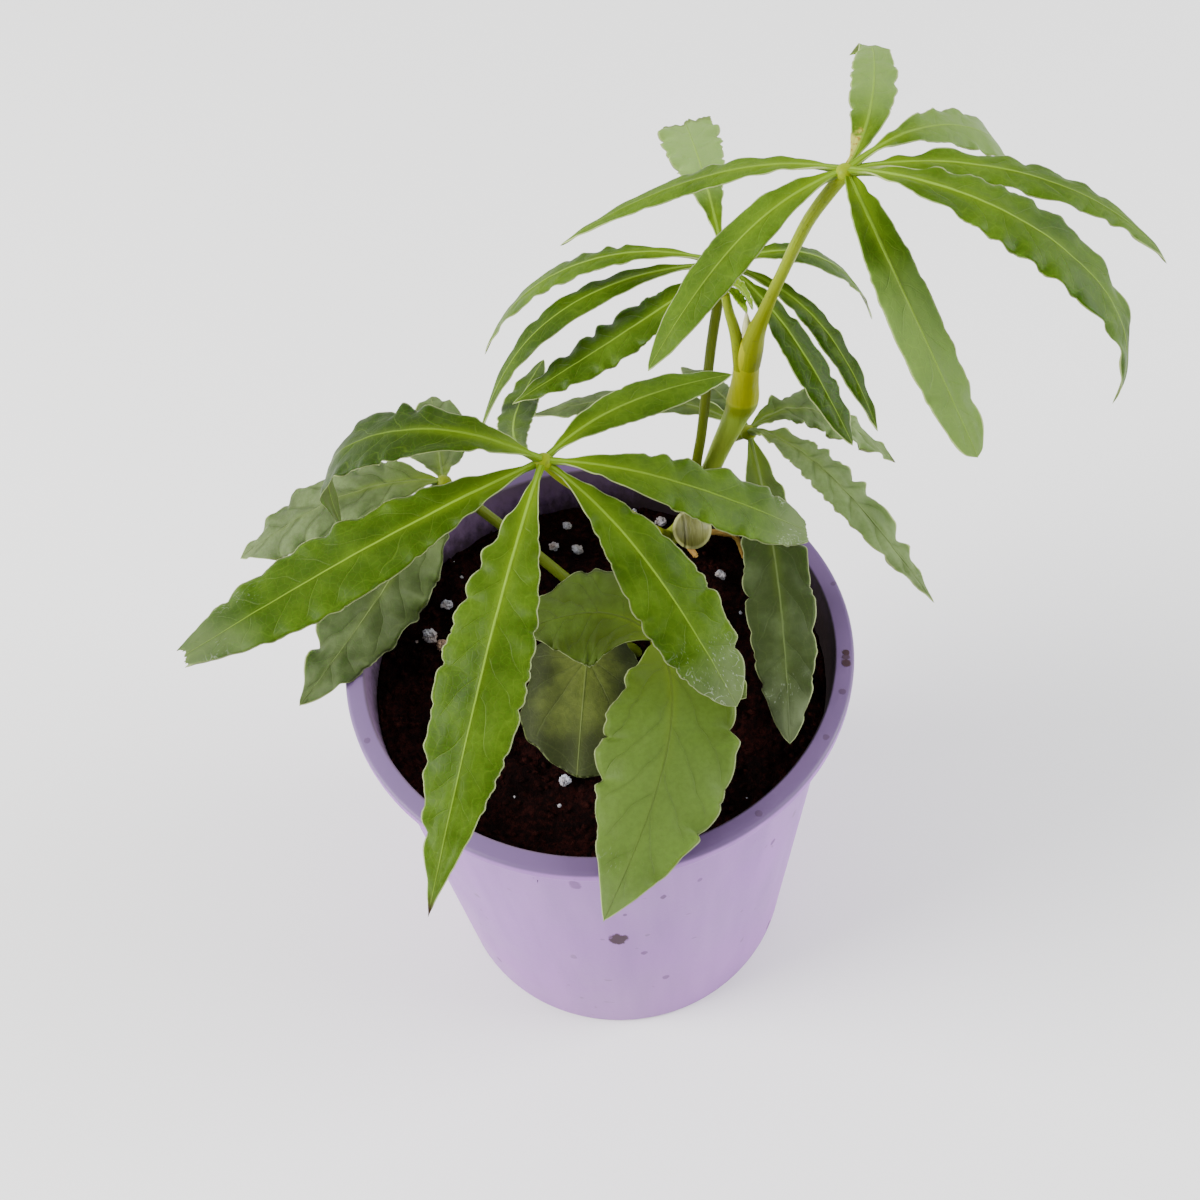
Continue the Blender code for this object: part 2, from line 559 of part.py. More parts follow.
def main():
    clear_scene()
    lilac = material('pot_plastic', (0.53, 0.40, 0.70), 0.42)
    peat = material('potting_soil', (0.018, 0.009, 0.007), 0.95)
    white = material('perlite', (0.72, 0.70, 0.68), 0.85)
    bright = material('upper_leaf', (0.12, 0.27, 0.035), 0.42)
    grey = material('lower_leaf', (0.16, 0.22, 0.10), 0.5)
    pale = material('stem_green', (0.42, 0.45, 0.07), 0.45)
    tan = material('aerial_root', (0.50, 0.26, 0.04), 0.6)
    olive = material('sheath_olive', (0.36, 0.36, 0.10), 0.6)

    make_pot(lilac)
    soil = make_soil(peat)
    stem_path = smooth_path([Point(*p) for p in STEM], 3)
    tube('stem', stem_path, 12, pale)

    def stem_cutter(name):
        return tube(name, stem_path, 12, pale, grow=GAP)

    on_stem = [
        ('leaf_front', FRONT_STALK, FRONT_LEAFLETS, bright), ('leaf_top', TOP_STALK, TOP_LEAFLETS, bright),
        ('leaf_back', BACK_STALK, BACK_LEAFLETS, bright), ('leaf_right', RIGHT_STALK, RIGHT_LEAFLETS, grey),
        ('leaf_young', YOUNG_STALK, YOUNG_LEAFLETS, bright)]
    for name, stalk, leaflets, finish in on_stem:
        knob = YOUNG_KNOB_RADIUS if name == 'leaf_young' else KNOB_RADIUS
        made = leaf(name, stalk, leaflets, finish, knob)
        apply_boolean(made, 'DIFFERENCE', [stem_cutter(name + '_cutter')])

    in_soil = [
        ('leaf_left', LEFT_STALK, LEFT_LEAFLETS),
        ('leaf_three_lobed', THREE_LOBED_STALK, THREE_LOBED_LEAFLETS)]
    for name, stalk, leaflets in in_soil:
        leaf(name, stalk, leaflets, grey)
    heart_path = smooth_path([Point(*p) for p in HEART_STALK], 4)
    heart = tube('leaf_heart', heart_path, 8, grey)
    apply_boolean(heart, 'UNION', [heart_blade('leaf_heart_blade', grey)])

    for name, points in ROOTS.items():
        root = tube(name, smooth_path([Point(*p) for p in points], 4), 8, tan)
        apply_boolean(root, 'DIFFERENCE', [stem_cutter(name + '_cutter')])
    apply_boolean(make_sheath(olive), 'DIFFERENCE', [stem_cutter('sheath_cutter')])
    tube('stem_scale', smooth_path([Point(*p) for p in SCALE], 3), 8, pale)

    holes = [tube('hole_stem', stem_path, 12, peat, grow=GAP)]
    for name, stalk in (('left', LEFT_STALK), ('three_lobed', THREE_LOBED_STALK), ('heart', HEART_STALK),
                        ('root_left', ROOTS['root_left']), ('root_right', ROOTS['root_right'])):
        holes.append(tube(f'hole_{name}', smooth_path([Point(*p) for p in stalk], 4), 8, peat, grow=GAP))
    apply_boolean(soil, 'DIFFERENCE', holes)

    surface = [tuple(face.vertices) for face in soil.data.polygons]
    ground = BVHTree.FromPolygons([vert.co for vert in soil.data.vertices], surface)
    for index, (x, y, size) in enumerate(GRAINS):
        make_grain(index, x, y, size, ground, white)


main()
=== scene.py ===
# %% [markdown]
# # A young anthurium in a lilac nursery pot
# The plant carries its leaves as fans: a thin leaf stalk, a small knob at its end, and narrow leaflets with
# waved edges that spread from the knob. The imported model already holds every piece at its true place, so
# this lesson only dresses it: it grows finer blades, stalks, soil and pot where the plain solids stand.

# %% Load the frame
import json
import math

import bmesh
import bpy
from mathutils import Matrix, Vector, noise

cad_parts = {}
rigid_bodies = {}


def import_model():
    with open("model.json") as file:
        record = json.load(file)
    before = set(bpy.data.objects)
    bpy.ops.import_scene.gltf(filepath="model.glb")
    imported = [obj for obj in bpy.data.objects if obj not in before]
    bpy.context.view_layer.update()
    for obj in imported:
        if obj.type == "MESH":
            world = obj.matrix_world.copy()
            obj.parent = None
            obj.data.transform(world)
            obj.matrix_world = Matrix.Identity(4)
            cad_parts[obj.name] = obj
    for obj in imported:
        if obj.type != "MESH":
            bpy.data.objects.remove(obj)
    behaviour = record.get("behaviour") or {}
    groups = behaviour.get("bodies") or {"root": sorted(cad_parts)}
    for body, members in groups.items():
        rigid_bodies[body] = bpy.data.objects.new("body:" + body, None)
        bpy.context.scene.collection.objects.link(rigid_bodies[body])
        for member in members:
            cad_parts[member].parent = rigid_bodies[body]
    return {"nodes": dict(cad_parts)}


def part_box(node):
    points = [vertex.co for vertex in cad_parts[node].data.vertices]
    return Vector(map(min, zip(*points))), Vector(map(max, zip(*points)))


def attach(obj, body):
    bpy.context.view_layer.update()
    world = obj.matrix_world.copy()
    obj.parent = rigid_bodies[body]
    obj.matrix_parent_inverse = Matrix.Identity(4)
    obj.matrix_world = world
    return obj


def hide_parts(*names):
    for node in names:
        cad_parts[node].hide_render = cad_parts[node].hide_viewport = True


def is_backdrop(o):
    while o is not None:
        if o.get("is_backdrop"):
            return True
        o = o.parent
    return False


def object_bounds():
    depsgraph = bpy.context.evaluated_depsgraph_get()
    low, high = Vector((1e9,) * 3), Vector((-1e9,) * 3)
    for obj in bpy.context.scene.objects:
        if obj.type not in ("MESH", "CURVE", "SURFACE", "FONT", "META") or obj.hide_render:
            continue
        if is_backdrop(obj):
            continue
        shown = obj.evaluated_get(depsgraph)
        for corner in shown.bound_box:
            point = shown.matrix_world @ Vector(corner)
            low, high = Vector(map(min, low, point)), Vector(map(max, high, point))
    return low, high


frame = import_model()
cad_low, cad_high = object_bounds()
MM = 0.001
print(len(frame['nodes']), 'nodes,', [round(1000 * (b - a)) for a, b in zip(cad_low, cad_high)], 'mm')

# %% [markdown]
# ## Camera
# The photograph was taken from close above, so the rim is a wide ellipse and the pot narrows strongly to its
# foot. Only a camera that stands as near as the real one gives that look. Its place was worked out from the
# rim's and the foot's outlines, and it is rolled a few degrees, as a phone in the hand is.

# %% Camera
CAMERA_PLACE = Vector((0.0, -0.206, 0.40425))
CAMERA_TARGET = Vector((0.0017, 0.0131, 0.116))
CAMERA_ROLL = -5.74

camera_data = bpy.data.cameras.new('camera')
camera_data.lens = 45.0
camera_data.sensor_width = 36.0
camera = bpy.data.objects.new('camera', camera_data)
bpy.context.scene.collection.objects.link(camera)
turn = (CAMERA_TARGET - CAMERA_PLACE).to_track_quat('-Z', 'Y').to_matrix().to_4x4()
camera.matrix_world = (
    Matrix.Translation(CAMERA_PLACE) @ turn @ Matrix.Rotation(math.radians(CAMERA_ROLL), 4, 'Z'))
bpy.context.scene.camera = camera
print('camera right', [round(v, 4) for v in camera.matrix_world.col[0][:3]])

# %% [markdown]
# ## Writing node trees as sums
# A node tree is easier to read as a formula. `Wire` wraps one socket, and each operator on it adds the Math
# node, or for vectors the Vector Math node, that does the sum. `Graph` adds every other node: its settings
# come first, because they decide which sockets there are, and the values or links of the sockets after.


# %% Wire and Graph
class Wire:
    """An output socket that can stand in a sum."""

    def __init__(self, graph, socket):
        self.graph = graph
        self.socket = socket

    def sum(self, operation, first, second):
        """Adds the node for one operator: Math for two numbers, Vector Math where a vector takes part."""
        numbers = [
            not (isinstance(v, tuple) or (isinstance(v, Wire) and v.socket.type == 'VECTOR'))
            for v in (first, second)]
        if all(numbers):
            return self.graph.add('ShaderNodeMath', {'operation': operation}, {0: first, 1: second})
        if operation == 'MULTIPLY' and any(numbers):
            vector, number = (second, first) if numbers[0] else (first, second)
            return self.graph.add(
                'ShaderNodeVectorMath', {'operation': 'SCALE'}, {0: vector, 'Scale': number})
        return self.graph.add('ShaderNodeVectorMath', {'operation': operation}, {0: first, 1: second})

    def __add__(self, other):
        return self.sum('ADD', self, other)

    def __radd__(self, other):
        return self.sum('ADD', other, self)

    def __sub__(self, other):
        return self.sum('SUBTRACT', self, other)

    def __rsub__(self, other):
        return self.sum('SUBTRACT', other, self)

    def __mul__(self, other):
        return self.sum('MULTIPLY', self, other)

    def __rmul__(self, other):
        return self.sum('MULTIPLY', other, self)

    def __truediv__(self, other):
        return self.sum('DIVIDE', self, other)

    def __rtruediv__(self, other):
        return self.sum('DIVIDE', other, self)

    def __pow__(self, other):
        return self.sum('POWER', self, other)

    def __abs__(self):
        return self.graph.math('ABSOLUTE', self)


class Graph:
    """A node tree under construction."""

    def __init__(self, tree):
        self.tree = tree

    def add(self, kind, settings=None, sockets=None, out=0):
        """Adds a node of this kind; a list as a socket's value links each of its items."""
        node = self.tree.nodes.new(kind)
        for key, value in (settings or {}).items():
            setattr(node, key, value)
        for key, value in (sockets or {}).items():
            for item in value if isinstance(value, list) else [value]:
                if isinstance(item, Wire):
                    self.tree.links.new(item.socket, node.inputs[key])
                else:
                    node.inputs[key].default_value = item
        return Wire(self, node.outputs[out])

    def math(self, operation, *values):
        return self.add('ShaderNodeMath', {'operation': operation}, dict(enumerate(values)))

    def vector(self, operation, *values, out=0):
        return self.add('ShaderNodeVectorMath', {'operation': operation}, dict(enumerate(values)), out)

    def axis(self, vector, name):
        return self.add('ShaderNodeSeparateXYZ', {}, {0: vector}, name)

    def point(self, x, y, z):
        return self.add('ShaderNodeCombineXYZ', {}, {0: x, 1: y, 2: z})

    def ramp(self, value, low, high, start=0.0, stop=1.0):
        """Goes smoothly from start to stop while the value goes from low to high."""
        return self.add(
            'ShaderNodeMapRange', {'interpolation_type': 'SMOOTHSTEP'},
            {0: value, 1: low, 2: high, 3: start, 4: stop})

    def noise(self, place, scale, detail=2.0, rough=0.5, out=0):
        return self.add(
            'ShaderNodeTexNoise', {},
            {'Vector': place, 'Scale': scale, 'Detail': detail, 'Roughness': rough}, out)

    def mix(self, share, first, second):
        """Goes from the first colour to the second; each is a wire or three numbers."""
        first, second = ((*c, 1.0) if isinstance(c, tuple) else c for c in (first, second))
        return self.add('ShaderNodeMix', {'data_type': 'RGBA'}, {0: share, 6: first, 7: second}, 2)


print('Wire and Graph are ready')

# %% [markdown]
# ## Running a geometry tree
# A Geometry Nodes tree is a recipe with named inputs. The helper puts it on a fresh object, fills in the
# inputs, and keeps what comes out as a plain mesh, because an exported part can't hold a recipe. Pieces that
# follow no tree are drawn point by point with bmesh, ring after ring, and bridged. Further helpers join the
# finished meshes of one piece, merge doubled points and turn every face outwards.


# %% Helpers for trees and pieces
MERGE_DISTANCE = 0.002 * MM
FLAT_EDGE = 1e-7


def new_geometry_tree(name, inputs, with_geometry=False):
    tree = bpy.data.node_groups.new(name, 'GeometryNodeTree')
    if with_geometry:
        tree.interface.new_socket('Geometry', in_out='INPUT', socket_type='NodeSocketGeometry')
    for label, kind in inputs:
        tree.interface.new_socket(label, in_out='INPUT', socket_type='NodeSocket' + kind)
    tree.interface.new_socket('Geometry', in_out='OUTPUT', socket_type='NodeSocketGeometry')
    graph = Graph(tree)
    entry = tree.nodes.new('NodeGroupInput')
    wires = {socket.name: Wire(graph, socket) for socket in entry.outputs if socket.name}
    return graph, wires


def end_tree(graph, geometry, material):
    """Makes instances real, paints them and closes the tree."""
    solid = graph.add('GeometryNodeRealizeInstances', {}, {0: geometry})
    painted = graph.add('GeometryNodeSetMaterial', {}, {'Geometry': solid, 'Material': material})
    smooth = graph.add('GeometryNodeSetShadeSmooth', {}, {0: painted})
    leave = graph.tree.nodes.new('NodeGroupOutput')
    graph.tree.links.new(smooth.socket, leave.inputs[0])
    return graph.tree


def in_scene(name, data):
    """Shows a mesh or a light as an object at the origin."""
    item = bpy.data.objects.new(name, data)
    bpy.context.scene.collection.objects.link(item)
    return item


def grow(name, tree, values, start=None):
    """Runs a tree with these input values on a fresh object and keeps the result as a plain mesh."""
    item = in_scene(name, start or bpy.data.meshes.new(name))
    modifier = item.modifiers.new('grow', 'NODES')
    modifier.node_group = tree
    for socket in tree.interface.items_tree:
        if socket.in_out == 'INPUT' and socket.name in values:
            value = values[socket.name]
            if socket.socket_type == 'NodeSocketFloat':
                value = float(value)
            modifier[socket.identifier] = value
    depsgraph = bpy.context.evaluated_depsgraph_get()
    mesh = bpy.data.meshes.new_from_object(
        item.evaluated_get(depsgraph), preserve_all_data_layers=True, depsgraph=depsgraph)
    item.modifiers.remove(modifier)
    item.data = mesh
    return item


def bridge(work, low, high):
    """Joins two rings of points with faces; one of them may be a single point."""
    sides = max(len(low), len(high))
    for k in range(sides):
        n = (k + 1) % sides
        if len(low) == 1:
            work.faces.new((low[0], high[n], high[k]))
        elif len(high) == 1:
            work.faces.new((low[k], low[n], high[0]))
        else:
            work.faces.new((low[k], low[n], high[n], high[k]))


def finished(name, work, finish):
    """Keeps drawn work as an object with smooth shading and its material."""
    mesh = bpy.data.meshes.new(name)
    work.to_mesh(mesh)
    work.free()
    mesh.materials.append(finish)
    mesh.shade_smooth()
    return in_scene(name, mesh)


def join(name, items):
    """Joins finished pieces into the first one."""
    first = items[0]
    if len(items) > 1:
        with bpy.context.temp_override(
                active_object=first, object=first, selected_objects=items, selected_editable_objects=items):
            bpy.ops.object.join()
    first.name = first.data.name = name
    return first


def close_up(item, outwards=True):
    """Merges doubled points, drops flat faces, turns the rest outwards and counts edges without two faces."""
    work = bmesh.new()
    work.from_mesh(item.data)
    bmesh.ops.remove_doubles(work, verts=work.verts, dist=MERGE_DISTANCE)
    bmesh.ops.dissolve_degenerate(work, edges=work.edges, dist=FLAT_EDGE)
    if outwards:
        bmesh.ops.recalc_face_normals(work, faces=work.faces)
    loose = sum(not edge.is_manifold for edge in work.edges)
    work.to_mesh(item.data)
    work.free()
    return loose


def triangles(item):
    item.data.calc_loop_triangles()
    return len(item.data.loop_triangles)


print('helpers are ready')

# %% [markdown]
# ## Leaf finish
# Each blade carries its own map as attributes: how far out a point is, how far it lies from the midrib and
# from the edge in millimetres, and a running number of side veins. The material draws the pale midrib, the
# scalloped vein inside the edge, a thin pale line at the edge as a painted edge highlight, and the net of
# small veins from them, so every line follows the blade however it bends. Painted shade darkens each blade
# towards its knob, where its folded halves shade each other, and in the creases beside the side veins. More
# attributes say how light a leaflet's green is, with painted shade on leaflets that hang in shadow, how far
# its outer half pales, and how worn, dried or scarred its ends are; a worn tip is greyed partly by wear and
# partly as a painted sheen. Upper leaves are fresh green, and the lower ones are older, greyer, partly as a
# painted sheen, and more puckered. The shaded three-lobed leaf and the heart have dull greens.


# %% Helpers for materials
def new_material(name):
    """Starts a material: its graph, its shader and the place on the object, in metres."""
    made = bpy.data.materials.new(name)
    made.use_nodes = True
    graph = Graph(made.node_tree)
    shader = made.node_tree.nodes['Principled BSDF']
    return made, graph, shader, graph.add('ShaderNodeTexCoord', {}, {}, 'Object')


def feed(graph, shader, **links):
    """Links wires to the shader's sockets, whose names are written with _ for a space."""
    for name, wire in links.items():
        graph.tree.links.new(wire.socket, shader.inputs[name.replace('_', ' ')])


def let_light_in(shader, gloss, weight, depths):
    """Sets the gloss, and how much light goes in and how deep, in metres of red, green and blue."""
    shader.inputs['Specular IOR Level'].default_value = gloss
    shader.inputs['Subsurface Weight'].default_value = weight
    shader.inputs['Subsurface Radius'].default_value = depths
    shader.inputs['Subsurface Scale'].default_value = 1.0


def bump(graph, height, distance):
    return graph.add('ShaderNodeBump', {}, {'Height': height, 'Distance': distance})


def attribute(graph, name):
    return graph.add('ShaderNodeAttribute', {'attribute_name': name}, {}, 'Fac')


# %% Leaf material
VEIN_SPACING = 8.0
PAINTED_SHADE_GREEN, PALE_GREEN, EDGE_HIGHLIGHT_GREEN = (0.008, 0.016, 0.0004), (0.20, 0.30, 0.09), (0.40, 0.47, 0.20)
WORN_AND_SHEEN_GREY, SPECK_WHITE, DRIED_BROWN = (0.115, 0.140, 0.075), (0.38, 0.43, 0.33), (0.035, 0.022, 0.008)
SCAR_YELLOW, SCAR_BROWN = (0.38, 0.38, 0.07), (0.24, 0.13, 0.02)


def leaf_material(name, deep, fresh, base, vein, back, age):
    """One leaf finish from its colours; age deepens the painted shade in the creases beside the veins, dulls
    it and puckers it between the veins.
    """
    made, g, shader, place = new_material(name)
    out, off, edge, veins, tone, skin, worn, scorch, pale = (
        attribute(g, key)
        for key in ('out', 'off', 'edge', 'veins', 'tone', 'skin', 'worn', 'scorch', 'pale'))
    near = abs(off)

    cloud = g.noise(place, 90.0, 3.0, 0.55)
    fine = g.noise(place, 900.0, 2.0, 0.6)
    cells = g.add('ShaderNodeTexVoronoi', {'feature': 'DISTANCE_TO_EDGE'}, {'Vector': place, 'Scale': 620.0})
    net = g.ramp(cells, 0.0, 0.10, 1.0, 0.0)

    wander = (g.noise(place, 240.0, 1.0) - 0.5) * 0.16
    phase = g.math('FRACT', veins + wander)
    to_vein = (0.5 - abs(phase - 0.5)) * VEIN_SPACING
    side_vein = g.ramp(to_vein, 0.02, 0.26, 1.0, 0.0) * g.ramp(edge, 1.2, 2.6) * g.ramp(near, 0.4, 1.0)
    vein_crease_shade = g.ramp(to_vein, 0.15, 1.3, 1.0, 0.0) * g.ramp(edge, 0.8, 3.0)
    scallop = 2.0 - 0.75 * g.math('COSINE', veins * (2.0 * math.pi))
    inner_vein = g.ramp(abs(edge - scallop), 0.03, 0.22, 1.0, 0.0) * g.ramp(out, 0.12, 0.3)
    rib_half = 0.38 - 0.26 * out
    rib = g.ramp(near / rib_half, 0.4, 1.2, 1.0, 0.0)
    glow = g.math('EXPONENT', near * near * -0.7) * g.ramp(out, 0.05, 0.7, 0.75, 0.12)
    stalk_end = g.math('EXPONENT', out * -10.0)
    edge_highlight = g.ramp(edge, 0.06, 0.32, 1.0, 0.0) * g.ramp(out, 0.03, 0.12)

    body = g.mix(g.ramp(cloud + (tone - 0.5) * 0.55, 0.25, 0.8), deep, fresh)
    # painted shade: a leaflet with a low tone is darkened towards a near-black green, for leaflets in shadow
    body = g.mix(g.ramp(tone, -0.5, 0.4, 0.5, 0.0), body, PAINTED_SHADE_GREEN)
    # painted shade: darker towards the knob, where the folded halves of the blade shade each other
    body = g.mix(g.ramp(out, 0.42, 0.06, 0.0, 0.55), body, deep)
    body = g.mix(g.ramp(fine, 0.35, 0.62, 0.25, 0.0), body, deep)
    body = g.mix(glow, body, base)
    # painted shade in the creases beside the side veins, deeper on older leaves
    body = g.mix(vein_crease_shade * (0.18 + 0.34 * age ** 3), body, deep)
    body = g.mix(net * 0.04, body, vein)
    body = g.mix(side_vein * 0.11, body, vein)
    body = g.mix(inner_vein * 0.07, body, vein)
    body = g.mix(g.math('MINIMUM', stalk_end * 1.3, 0.92), body, base)
    body = g.mix(g.ramp(out + (cloud - 0.5) * 0.35, 0.22, 0.6) * pale, body, PALE_GREEN)
    # the midrib shows less on darkly toned leaflets, inside their painted shade
    rib_shows = g.ramp(out, 0.3, 1.0, 0.85, 0.5) * g.ramp(tone, 0.5, 0.85, 1.0, 0.6)
    rib_shows = rib_shows * g.ramp(tone, -0.5, 0.1, 0.4, 1.0)
    body = g.mix(rib * rib_shows, body, vein)
    # a thin pale line along the edge: a painted edge highlight
    body = g.mix(edge_highlight * 0.8, body, EDGE_HIGHLIGHT_GREEN)
    # the worn tip greys, partly from wear and partly as a painted sheen
    tip = g.ramp(out + (cloud - 0.5) * 0.25, 0.76, 0.97) * worn
    body = g.mix(tip * 0.6, body, WORN_AND_SHEEN_GREY)
    patch = g.ramp(g.noise(place, 110.0, 1.0), 0.50, 0.62) * g.ramp(out, 0.70, 0.93) * worn
    streaky = g.noise(g.point(off * 4.5, out * 90.0, tone * 9.0), 1.0, 0.0)
    specks = g.ramp(streaky, 0.71, 0.78) * patch
    trails = g.ramp(abs(g.noise(place, 330.0, 1.0) - 0.5), 0.003, 0.012, 1.0, 0.0)
    trails = trails * patch * g.ramp(edge, 1.2, 3.2, 1.0, 0.0)
    body = g.mix(g.math('MAXIMUM', specks * 0.45, trails * 0.4), body, SPECK_WHITE)
    burnt = g.ramp(out + (fine - 0.5) * 0.03, 0.955, 0.985) * scorch
    blotch = g.ramp(out + (g.noise(place, 500.0, 2.0) - 0.5) * 0.25, 0.17, 0.24, 1.0, 0.0)
    blotch = blotch * g.math('MAXIMUM', scorch * -1.0, 0.0) * g.ramp(off, -0.3, 0.7)
    body = g.mix(blotch, body, g.mix(g.ramp(fine, 0.5, 0.62), SCAR_YELLOW, SCAR_BROWN))
    under = g.mix(g.math('MAXIMUM', rib, side_vein * 0.5), back, vein)
    under = g.mix(stalk_end * 0.8, under, base)
    colour = g.mix(g.ramp(skin, -0.5, 0.5), under, body)
    colour = g.mix(burnt, colour, DRIED_BROWN)

    pucker = g.math('SINE', (veins + wander) * math.pi)
    relief = abs(pucker) * (0.15 + 0.95 * age ** 2) + net * -0.08 - side_vein * 0.25
    relief = relief + rib * 0.5 + fine * 0.10 + cloud * 0.7
    normal = bump(g, relief, 0.00022)
    rough = g.ramp(cloud + fine * 0.3, 0.35, 0.95, 0.38 + 0.12 * age, 0.54 + 0.1 * age) - specks * 0.15
    feed(g, shader, Base_Color=colour, Roughness=rough, Normal=normal)
    let_light_in(shader, 0.08, 0.08, (0.0010, 0.0018, 0.0004))
    return made


upper_leaf = leaf_material(
    'fresh leaf', deep=(0.021, 0.047, 0.0006), fresh=(0.062, 0.118, 0.004), base=(0.110, 0.190, 0.001),
    vein=(0.200, 0.330, 0.025), back=(0.09, 0.12, 0.035), age=0.15)
young_leaf = leaf_material(
    'youngest leaf', deep=(0.12, 0.21, 0.002), fresh=(0.20, 0.33, 0.004), base=(0.22, 0.33, 0.003),
    vein=(0.25, 0.38, 0.02), back=(0.20, 0.30, 0.03), age=0.1)
# its veins are darker than its green: the dark midrib is painted shade in the fold along it
dull_leaf = leaf_material(
    'dull leaf', deep=(0.032, 0.050, 0.0035), fresh=(0.068, 0.120, 0.014), base=(0.080, 0.125, 0.005),
    vein=(0.050, 0.074, 0.009), back=(0.11, 0.14, 0.05), age=0.6)
heart_green = leaf_material(
    'heart leaf', deep=(0.029, 0.036, 0.012), fresh=(0.108, 0.138, 0.028), base=(0.105, 0.150, 0.010),
    vein=(0.135, 0.175, 0.050), back=(0.11, 0.14, 0.05), age=0.3)
# the greyed leaf's pale grey-green comes partly from age and partly as a painted sheen
grey_leaf = leaf_material(
    'greyed leaf', deep=(0.031, 0.046, 0.012), fresh=(0.108, 0.148, 0.058), base=(0.09, 0.14, 0.01),
    vein=(0.115, 0.160, 0.045), back=(0.12, 0.15, 0.075), age=1.0)
print('leaf finishes:', [m.name for m in (upper_leaf, young_leaf, dull_leaf, heart_green, grey_leaf)])

# %% [markdown]
# ## Leaflet blades
# All leaflets follow one rule, so one tree grows them all: a flat grid is bent along an arched midrib, given
# its width, folded up beside the knob, left to droop further out, and its edges are ruffled in step with the
# side veins. The two skins meet at the edge, where a real blade is thinnest. Sculpting some thirty leaflets
# by hand would take days, and they would no longer share the plant's habit. Depths of folds and waves are
# shares of the blade's width, and thicknesses are millimetres.

# %% Blade tree
ALONG, ACROSS = 160, 27
STALK_FOLD, DROOP = 0.45, 0.16
WAVE_DEPTH, SCALLOP_DEPTH, NOTCH_DEPTH, WAVE_LIFT = 0.050, 0.034, 0.020, 0.045
STALK_HALF, NECK_HALF = 0.65, 0.16
EDGE_SKIN, KNOB_SKIN = 0.16, 0.72
VEIN_SLANT = 6.5


